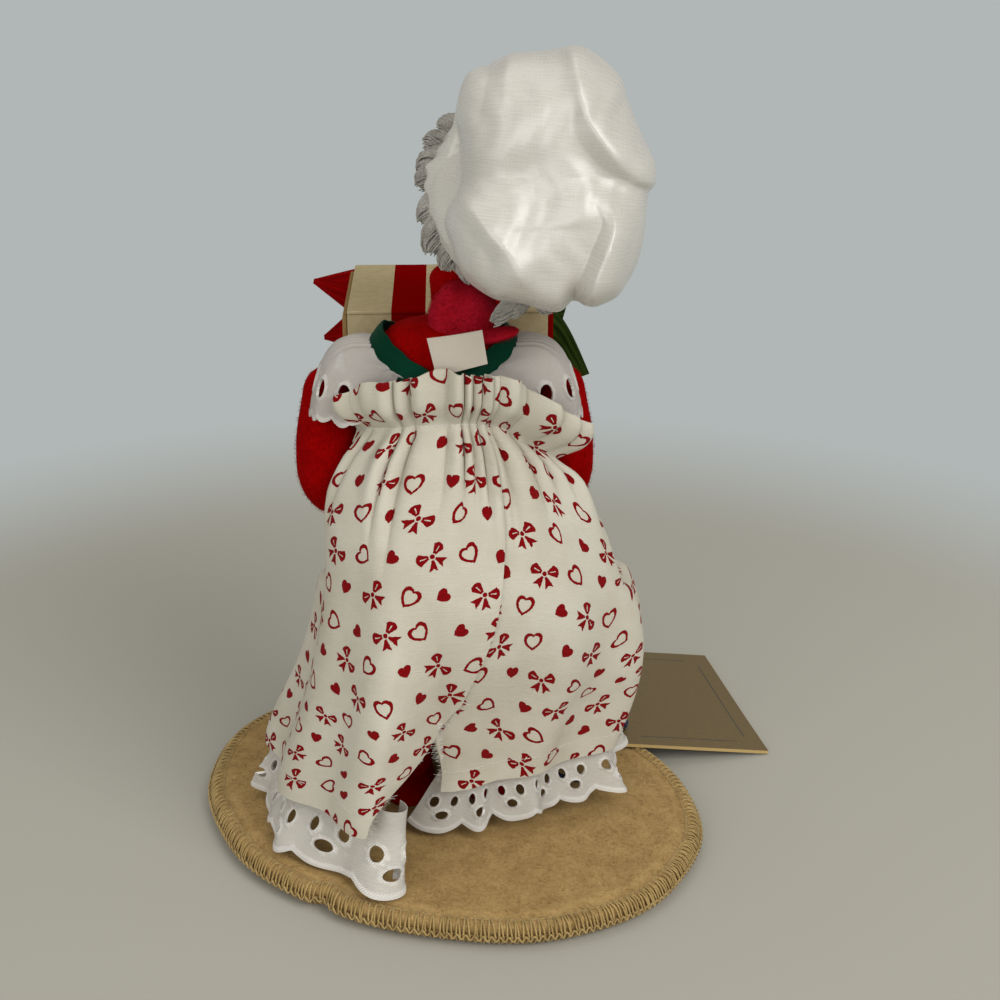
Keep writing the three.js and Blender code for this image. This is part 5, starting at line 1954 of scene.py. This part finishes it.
@dataclass
class Gift:
    """The striped carton with a lapped lid, its tucked end panel and the two-coloured bow on its front."""

    card: float = 0.9
    soft: float = 0.3
    lid_soft: float = 0.25
    ribbon_w: float = 12.0
    ribbon_t: float = 0.35
    knot_size: Triple = (4.2, 2.1, 4.2)
    knot_up: float = 22.6
    knot_half: float = 4.0
    bow_gap: float = 1.0
    bow_ahead: float = 0.6
    tail_open: float = 0.85
    loop_open: float = 1.9
    loop_late: float = 4.0
    bows: Tuple[Tuple[str, int, float, float, float], ...] = (
        ("red_bow_upper", 1, 36.4, 31.2, 2.6), ("red_bow_lower", 1, 34.0, 16.0, 0.9),
        ("green_bow_upper", -1, 31.0, 21.0, 2.6), ("green_bow_lower", -1, 35.5, 4.0, 0.9))
    lid_gap: float = 0.05
    lid_over: float = 0.45
    end_box: Tuple[Triple, ...] = ((20.4, -66.3, 91.2), (21.3, -22.7, 123.4))
    flap_box: Tuple[Triple, ...] = ((23.4, -66.5, 91.0), (24.5, -21.8, 125.0))

    def carton(self) -> None:
        """The folded sleeve, open at the doll's left, the lid that laps over it and the tucked end."""
        top = GIFT_HIGH - [0, 0, self.card]
        sleeve = block("carton_sleeve", GIFT_LOW, top)
        drop_faces(sleeve, [face.normal.x > 0.9 for face in sleeve.data.polygons])
        apply(sleeve, "SOLIDIFY", thickness=self.card * MM, offset=-1.0, use_even_offset=True)
        bevelled(sleeve, self.soft)
        dress(sleeve, GIFT_CARD, Body.TORSO, "gift_carton")
        under_lid = np.array([GIFT_LOW[0], GIFT_LOW[1], top[2] + self.lid_gap])
        lid = block("carton_lid", under_lid, GIFT_HIGH + [0, self.lid_over, 0])
        dress(bevelled(lid, self.lid_soft), GIFT_CARD, Body.TORSO, "gift_carton")
        panel = block("carton_end", *np.array(self.end_box))
        dress(bevelled(panel, self.soft), RAW_CARD, Body.TORSO, "gift_end_panel")
        flap = block("carton_flap", *np.array(self.flap_box))
        dress(bevelled(flap, self.soft), RAW_CARD, Body.TORSO)

    def tail(self, node: str, knot: Points, end: Points, ahead: float, finish: Ribbon,
             late: float = 1.0) -> None:
        """One ribbon piece from the knot and back to it.

        Args:
            node: The node that it stands for.
            knot: Where it leaves the knot.
            end: Where it turns back.
            ahead: How far it bows out to the front.
            finish: Its finish.
            late: 1 for a straight pointed tail, more for a full loop that drops late.
        """
        out = end - knot

        def place(u: Array, v: Array) -> Points:
            """The ribbon's cloth, out to the tip and back."""
            run = 1 - np.abs(1 - 2 * u)
            open_by = self.tail_open if late == 1 else self.loop_open
            back = np.where(u > 0.5, 1.0, -1.0) * open_by * np.sin(math.pi * run) ** 0.8
            taper = np.minimum((1.03 - run) / 0.36, 1) if late == 1 else 1 - 0.5 * smooth(0.55, 1, run)
            wide = self.ribbon_w * np.minimum(0.4 + 1.4 * run, 1) * taper
            at = stack(knot[0] + out[0] * run, knot[1] + out[1] * run, knot[2] + out[2] * run ** late)
            way = stack(out[0], 0 * run, out[2] * late * run ** (late - 1))
            across = unit(np.cross(way, [0.0, 1.0, 0.0]))
            curl = 0.5 * np.sin(math.pi * (v - 0.5)) * run
            at[:, 1] -= ahead * np.sin(math.pi * run) + back + curl
            return at + across * ((v - 0.5) * wide)[:, None]

        ribbon, uv = grid(f"{node}_ribbon", 80, 16, place)
        set_uv(ribbon, uv[:, ::-1] * [self.ribbon_w, 2 * np.linalg.norm(out)])
        thicken(ribbon, self.ribbon_t)
        dress(ribbon, finish, Body.TORSO, node)

    def build(self) -> None:
        """Makes the carton, the ribbons and their knot."""
        self.carton()
        front, middle = GIFT_LOW[1], (GIFT_LOW[0] + GIFT_HIGH[0]) / 2
        knot_z = GIFT_LOW[2] + self.knot_up

        def knot_skin(turn: Array, part: Array) -> Points:
            """The knot's folded band."""
            pleats = stack(1 + 0.05 * np.cos(6 * turn), 1, 1 + 0.04 * np.cos(4 * turn))
            return globe(turn, part) * pleats * self.knot_size + [middle, front - 2.5, knot_z]

        knot = ball("ribbon_knot", 40, 28, knot_skin)
        set_uv(knot, points_of(knot)[:, [2, 0]])
        dress(knot, RED_RIBBON, Body.TORSO, "bow_knot")
        for node, side, reach, rise, ahead in self.bows:
            y = front - self.bow_gap - ahead
            start = np.array([middle + side * self.knot_half, y, knot_z])
            end = np.array([middle + side * reach, y, GIFT_LOW[2] + rise])
            finish, late = (RED_RIBBON, 1.0) if side > 0 else (GREEN_RIBBON, self.loop_late)
            self.tail(node, start, end, self.bow_ahead * ahead, finish, late)


@dataclass
class Head:
    """The stuffed head: skin felt with a plain sewn face, and roving over its back."""

    seam: float = 2.0
    gap: float = 0.05
    eye_x: float = 6.4
    eye_size: Triple = (1.15, 0.8, 1.5)
    eye_z: float = 2.6
    eye_sunk: float = 0.3
    cheek_x: float = 8.5
    cheek_z: float = -4.5
    nose_out: float = 2.2
    nose_low: float = 2.3
    nose_spread: float = 4.5
    mouth_z: float = -8.4
    mouth_half: float = 3.6
    mouth_curve: float = 0.055
    mouth_r: float = 0.28
    brow_z: float = 7.0
    brow_half: float = 2.4
    brow_curve: float = 0.09
    brow_r: float = 0.2
    fill: float = 0.8

    def skin(self, front: bool) -> Surface:
        """One half of the head, closed by a flat wall at the seam."""
        def place(turn: Array, part: Array) -> Points:
            """The half's skin."""
            x, y, z = (globe(turn, part) * HEAD_SHAPE).T
            nose = self.nose_out * np.exp(-(x ** 2 + (z + self.nose_low) ** 2) / self.nose_spread) * (y < 0)
            if front:
                return HEAD_PLACE.at(x, np.minimum(y - nose, self.seam - self.gap), z)
            return HEAD_PLACE.at(x, np.maximum(y, self.seam + self.gap), z)
        return place

    def on_face(self, x: float, z: float, lift: float = 0.0) -> Points:
        """A place on the face, across and up from its middle."""
        wide, deep, tall = HEAD_SHAPE
        y = -deep * math.sqrt(max(0.0, 1 - (x / wide) ** 2 - (z / tall) ** 2)) - lift
        return HEAD_PLACE.at(x, y, z)

    def build(self) -> None:
        """Makes the head and its face."""
        cheeks = tuple(tuple(self.on_face(x, self.cheek_z)) for x in (-self.cheek_x, self.cheek_x))
        face_felt = FaceFelt("Face felt", Slot.SKIN_FELT, "#c79a78", "#d9b08e", bloom=0.25, cheeks=cheeks)
        face = ball("head_face", 96, 72, self.skin(True))
        dress(face, face_felt, Body.HEAD, "head")
        fibres = Nap(count=2500, length=0.9, width=0.035, lift=0.5, seed=41)
        nap = fibres.grow("head_face_nap", face, lambda p, n: p[:, 1] < -8)
        dress(nap, face_felt, Body.HEAD)
        back = ball("head_back", 96, 72, self.skin(False))
        dress(back, HAIR, Body.HEAD, "head")
        for name, x in (("left_eye", self.eye_x), ("right_eye", -self.eye_x)):
            at = self.on_face(x, self.eye_z, -self.eye_sunk)
            eye = ball(name, 24, 16, lambda turn, part: at + globe(turn, part) * self.eye_size)
            dress(eye, INK, Body.HEAD)
        run = np.linspace(-self.mouth_half, self.mouth_half, 15)
        smile = np.array([self.on_face(x, self.mouth_z + self.mouth_curve * x * x, 0.15) for x in run])
        dress(tubes("smile", [smile], [self.mouth_r]), replace(RASPBERRY_FELT, slot=Slot.THREAD), Body.HEAD)
        for name, side in (("left_brow", 1), ("right_brow", -1)):
            run = np.linspace(-self.brow_half, self.brow_half, 9)
            rise = self.brow_z - self.brow_curve * run * run
            brow = np.array([self.on_face(side * (self.eye_x + x), z, 0.1) for x, z in zip(run, rise)])
            dress(tubes(name, [brow], [self.brow_r]), INK, Body.HEAD)


@dataclass(frozen=True)
class Crease:
    """A fold on the cap: its line in the photograph's plane, its height and how it falls off on each side."""

    knots: Pairs
    height: float
    left: float
    right: float
    fade_in: float = 0.15
    fade_out: float = 0.15
    sharp: float = 1.4
    samples: int = 60

    def lift(self, x: Array, y: Array) -> Array:
        """How far the fold raises the cloth at places in the plane."""
        line = curve_points(self.knots, self.samples)
        way = unit(np.gradient(line, axis=0))
        off = np.stack([x, y], 1)[:, None] - line[None]
        d = np.linalg.norm(off, axis=2)
        near = d.min(1)
        weight = np.exp((near[:, None] ** 2 - d ** 2) / 4)
        weight /= weight.sum(1, keepdims=True)
        side = (weight * (way[:, 0] * off[:, :, 1] - way[:, 1] * off[:, :, 0])).sum(1) / (near + 0.3)
        reach = mix(self.right, self.left, smooth(-0.7, 0.7, side))
        s = np.linspace(0, 1, self.samples)
        shown = smooth(0, self.fade_in, s) * (1 - smooth(1 - self.fade_out, 1, s))
        return self.height * (weight @ shown) * np.exp(-(near / reach) ** self.sharp)


@dataclass
class Cap:
    """The puffed mob cap: full satin cotton drawn in round the face, with lobes and a few sharp folds."""

    middle: Triple = (-22.5, 8.0, 164.0)
    depth: float = 21.5
    flat_metres: Pair = (0.105, 0.105)
    area_metres: float = 0.0085
    cloth: float = 0.5
    clear: float = 0.8
    front: float = 0.62
    fold_end: Pair = (0.6, 0.7)
    lift_spread: float = 0.3
    lift_ahead: float = 14.0
    ruffle_at: float = math.radians(181)
    ruffle_width: float = 0.42
    ruffle_out: float = 6.8
    brim_x: float = 17.7
    brim_y: float = 20.0
    brim_z: float = -2.6
    columns: int = 300
    rows: int = 190
    outline: Pairs = (
        (23.1, -1.0), (22.6, 4.5), (19.5, 10.6), (17.6, 15.5), (15.3, 21.0), (9.2, 26.1), (3.7, 27.2),
        (-6.8, 25.3), (-12.7, 23.9), (-16.4, 22.0), (-18.8, 15.5), (-19.0, 8.3), (-18.2, 2.5), (-18.5, -2.8),
        (-21.4, -8.6), (-19.6, -14.8), (-17.2, -21.4), (-10.9, -25.5), (-6.8, -26.0), (0.2, -28.1),
        (3.7, -28.6), (7.4, -25.9), (11.1, -26.0), (16.1, -24.0), (19.4, -19.4), (21.6, -11.3))
    creases: Tuple[Crease, ...] = (
        Crease(((4.2, 28.4), (5.9, 22.4), (7.2, 15.0), (9.8, 9.4), (14.1, 3.8), (18.0, 0.4), (22.7, -0.9)),
               2.9, 6.5, 2.2, 0.1, 0.02),
        Crease(((22.4, -2.8), (15.8, 0.2), (11.2, 3.2), (7.0, 7.5), (4.6, 13.0)), -2.6, 6.0, 1.8, 0.02, 0.6),
        Crease(((6.0, -26.5), (8.4, -20.3), (10.6, -14.3), (12.0, -9.0), (9.6, -4.6)),
               -2.6, 6.0, 1.0, 0.02, 0.4, 1.15),
        Crease(((8.2, -26.5), (10.6, -20.3), (12.8, -14.3), (14.2, -9.0), (13.0, -4.0)),
               2.6, 1.2, 6.5, 0.02, 0.45, 1.15),
        Crease(((-18.7, -1.3), (-14.4, -6.5), (-10.9, -10.8), (-7.1, -15.1), (-4.9, -19.5), (-3.6, -23.3)),
               2.3, 2.6, 4.2, 0.1, 0.2),
        Crease(((-19.6, -6.5), (-14.8, -12.0), (-10.4, -18.0), (-8.6, -23.0)), -0.6, 3.8, 3.0, 0.15, 0.3),
        Crease(((-7.5, 26.0), (-8.1, 18.1), (-9.4, 10.0)), 1.7, 3.6, 5.2, 0.05, 0.6),
        Crease(((-12.0, 25.0), (-12.8, 17.0), (-15.0, 9.0)), -1.3, 3.0, 3.6, 0.05, 0.4),
        Crease(((-17.6, 12.5), (-19.4, 6.0), (-19.4, -2.5)), -1.9, 2.2, 2.2, 0.3, 0.3),
        Crease(((-4.0, 8.0), (-1.0, 0.0), (2.0, -8.0)), -2.6, 8.0, 8.0, 0.4, 0.4),
        Crease(((17.5, -22.0), (17.8, -16.0), (19.4, -10.0)), -1.0, 2.4, 2.4, 0.05, 0.5))

    def axes(self) -> Tuple[Points, Points, Points]:
        """Right, up and towards the photograph's camera, from the cap's middle."""
        ahead = unit(np.array(Studio().place) - np.array(self.middle))
        right = unit(np.cross([0.0, 0.0, 1.0], ahead))
        return right, np.cross(ahead, right), ahead

    def rim(self, turn: Array) -> Array:
        """The outline's distance from the middle in a direction."""
        closed = list(self.outline) + [self.outline[0]]
        line = curve_points(closed, 400)
        angle = np.arctan2(line[:, 1], line[:, 0])
        return np.interp(turn, angle, np.hypot(line[:, 0], line[:, 1]), period=TAU)

    def surface(self, u: Array, v: Array) -> Points:
        """The cloth from its crown at v 0 over the outline to the brim at v 1."""
        right, up, ahead = self.axes()
        turn = u * TAU
        ray = np.cos(turn)[:, None] * right + np.sin(turn)[:, None] * up
        middle, rim = np.array(self.middle), self.rim(turn)
        t = np.clip(v / self.front, 0, 1) * math.pi / 2
        low = np.maximum(-np.sin(turn), 0)
        full = np.sin(t) ** (0.76 - 0.3 * low)
        deep = self.depth * np.cos(t) ** (0.86 - 0.38 * low) + 4.5 * low * full ** 2 * (1 - full ** 12)
        dome = middle + ray * (rim * full)[:, None] + ahead * deep[:, None]
        s = np.clip((v - self.front) / (1 - self.front), 0, 1) * math.pi / 2
        brim = CAP_PLACE.at(-self.brim_x * np.cos(turn), -self.brim_y * np.sin(turn), self.brim_z)
        edge = middle + ray * rim[:, None]
        gap = brim - edge
        deep = gap @ ahead
        flat = gap - deep[:, None] * ahead
        back = edge + ahead * (deep * np.sin(s))[:, None] + flat * (1 - np.cos(s))[:, None]
        left = self.ruffle_out * hump(turn_from(turn, self.ruffle_at), 0, self.ruffle_width)
        ruffle = (0.5 * np.sin(38 * turn) + 0.35 * np.sin(23 * turn + 1)) * np.sin(s) ** 2
        back = back + ray * (left * np.sin(2 * s) ** 0.4 + ruffle)[:, None]
        return self.off_head(np.where((v > self.front)[:, None], back, dome))

    def off_head(self, cloth: Points) -> Points:
        """Cloth that lies over the head wherever the head would show through it."""
        away = cloth - HEAD_PLACE.origin
        far = np.linalg.norm(away, axis=-1, keepdims=True)
        return HEAD_PLACE.origin + away * np.maximum(1, (HEAD_SHAPE[2] + self.clear) / far)

    def arcs(self, uv: Points) -> Array:
        """The cloth's length from the crown to each place on it."""
        run = lengths(sampled(self.columns, self.rows, self.surface))
        return run[crossings(uv, self.columns, self.rows)]

    @staticmethod
    def crumple(x: Array, y: Array) -> Array:
        """Small soft waves of limp cloth."""
        a = 0.85 * x + 0.35 * y + 2.2 * np.sin(0.21 * y + 0.4)
        b = 0.5 * x - 0.75 * y + 1.8 * np.sin(0.26 * x + 1.0)
        c = 1.25 * x + 0.2 * y + 2.6 * np.sin(0.33 * y - 0.12 * x)
        return 0.3 * np.sin(0.42 * a) + 0.24 * np.sin(0.55 * b + 1) + 0.12 * np.sin(0.9 * c) * np.sin(0.3 * b)

    def build(self) -> None:
        """Makes the cap and sets its folds."""
        cap, uv = grid("cap_cotton", self.columns, self.rows, self.surface)
        right, up, ahead = self.axes()
        at = points_of(cap)
        off = at - np.array(self.middle)
        x, y = off @ right, off @ up
        facing = 1 - smooth(*self.fold_end, uv[:, 1])
        lift = sum(c.lift(x, y) for c in self.creases) + self.crumple(x, y)
        out = unit(self.lift_spread * off + ahead * self.lift_ahead)
        move_points(cap, at + out * (lift * facing)[:, None])
        arc = self.arcs(uv)
        set_uv(cap, stack(arc * np.cos(uv[:, 0] * TAU), arc * np.sin(uv[:, 0] * TAU), 0))
        thicken(outward(cap), self.cloth)
        dress(cap, CAP_COTTON, Body.HEAD, "mob_cap")


@dataclass
class Hair:
    """Thick soft locks of twisted roving round the brim, cut blunt with a little fray."""

    locks: int = 28
    strands: int = 48
    thick: float = 2.6
    fibre: float = 0.3
    points: int = 13
    row_step: float = 4.2
    lean: float = 9.5
    stray: float = 2.0
    jitter: float = 0.06
    reach: Pair = (20.6, 23.6)
    seed: int = 17
    nape: Tuple[Tuple[Tuple[Triple, ...], float], ...] = (
        (((-18.5, 8.5, 141.5), (-15.6, 11.0, 138.0), (-13.4, 12.2, 135.0), (-11.2, 12.2, 133.0)), 0.72),
        (((-19.0, 8.5, 141.5), (-18.2, 11.0, 137.6), (-16.6, 12.0, 135.6), (-15.2, 12.0, 134.4)), 0.6),
        (((-19.6, 8.5, 141.5), (-20.6, 11.0, 138.0), (-22.2, 12.0, 136.2), (-23.6, 12.0, 135.2)), 0.5))

    def lock(self, turn: float, inner: float, rng: np.random.Generator) -> Tuple[List[Points], List[Array]]:
        """One lock from under the brim at a direction."""
        c, s = math.cos(turn), math.sin(turn)
        fall = -float((CAP_AXES @ np.array([-s, c, 0.0]))[2])
        lean = self.lean * fall + rng.uniform(-self.stray, self.stray)
        far = rng.uniform(*self.reach) - inner
        r, a, z = np.array([(14.5 - inner, 0.0, -1.0), (17.8 - inner, 0.12 * lean, -2.4),
                            (20.8 - inner, 0.5 * lean, -4.4), (far, lean, -6.8)]).T
        return self.roll(CAP_PLACE.at(r * c - a * s, r * s + a * c, z), 1.0, rng)

    def roll(self, knots: Points, size: float, rng: np.random.Generator) -> Tuple[List[Points], List[Array]]:
        """A soft core along knots and the strands that wind round it."""
        line = curve_points(knots, self.points)
        _, side, up = frames_along(line)
        run = np.linspace(0, 1, self.points)[:, None]
        blunt = np.sqrt(1 - 0.8 * np.clip((run - 0.72) / 0.28, 0, 1) ** 2)
        full = size * self.thick * (0.7 + 0.3 * smooth(0, 0.35, run)) * rng.uniform(0.8, 1.12) * blunt
        lines, radii = [line], [full[:, 0] * 0.95]
        for k in range(self.strands):
            roll = k * TAU / self.strands * 1.618 + run * TAU * rng.uniform(0.5, 0.8)
            deep = full * (0.9 + 0.1 * rng.random())
            loose = rng.normal(0, 0.2, 3) * smooth(0.65, 1, run)
            end = (line[-1] - line[-2]) * rng.uniform(-0.3, 0.4) * smooth(0.85, 1, run)
            lines.append(line + deep * (np.cos(roll) * side + np.sin(roll) * up) + loose + end)
            radii.append(self.fibre * (1 - 0.5 * smooth(0.8, 1, run[:, 0])))
        return lines, radii

    def build(self) -> None:
        """Makes every lock as one piece."""
        rng = np.random.default_rng(self.seed)
        rolls = []
        for k in range(2 * self.locks):
            row, place = divmod(k, self.locks)
            turn = (place + 0.5 * row) * TAU / self.locks + rng.uniform(-self.jitter, self.jitter)
            rolls.append(self.lock(turn, self.row_step * row, rng))
        rolls += [self.roll(np.array(knots), size, rng) for knots, size in self.nape]
        lines, radii = (sum(parts, []) for parts in zip(*rolls))
        dress(tubes("hair_locks", lines, radii, 4), HAIR, Body.HEAD, "hair")


class Hardware:
    """The wires and the board, which stay as they were drawn and only get a finish."""

    WIRES = ("left_leg_wire", "right_leg_wire", "spine_wire", "neck_wire", "head_wire", "left_arm_wire",
             "right_arm_wire")

    def build(self) -> None:
        """Gives the wires and the board their finishes."""
        for node in self.WIRES:
            coat(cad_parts[node], STEEL)
        coat(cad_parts["base_board"], BOARD)


def main() -> None:
    """Builds the doll."""
    logging.basicConfig(level=logging.INFO, format="%(name)s: %(message)s")
    for part in (Studio, HangTag, Base, Skirt, Collar, Figure, Gift, Head, Cap, Hair, Hardware):
        part().build()


if __name__ == "__main__":
    main()
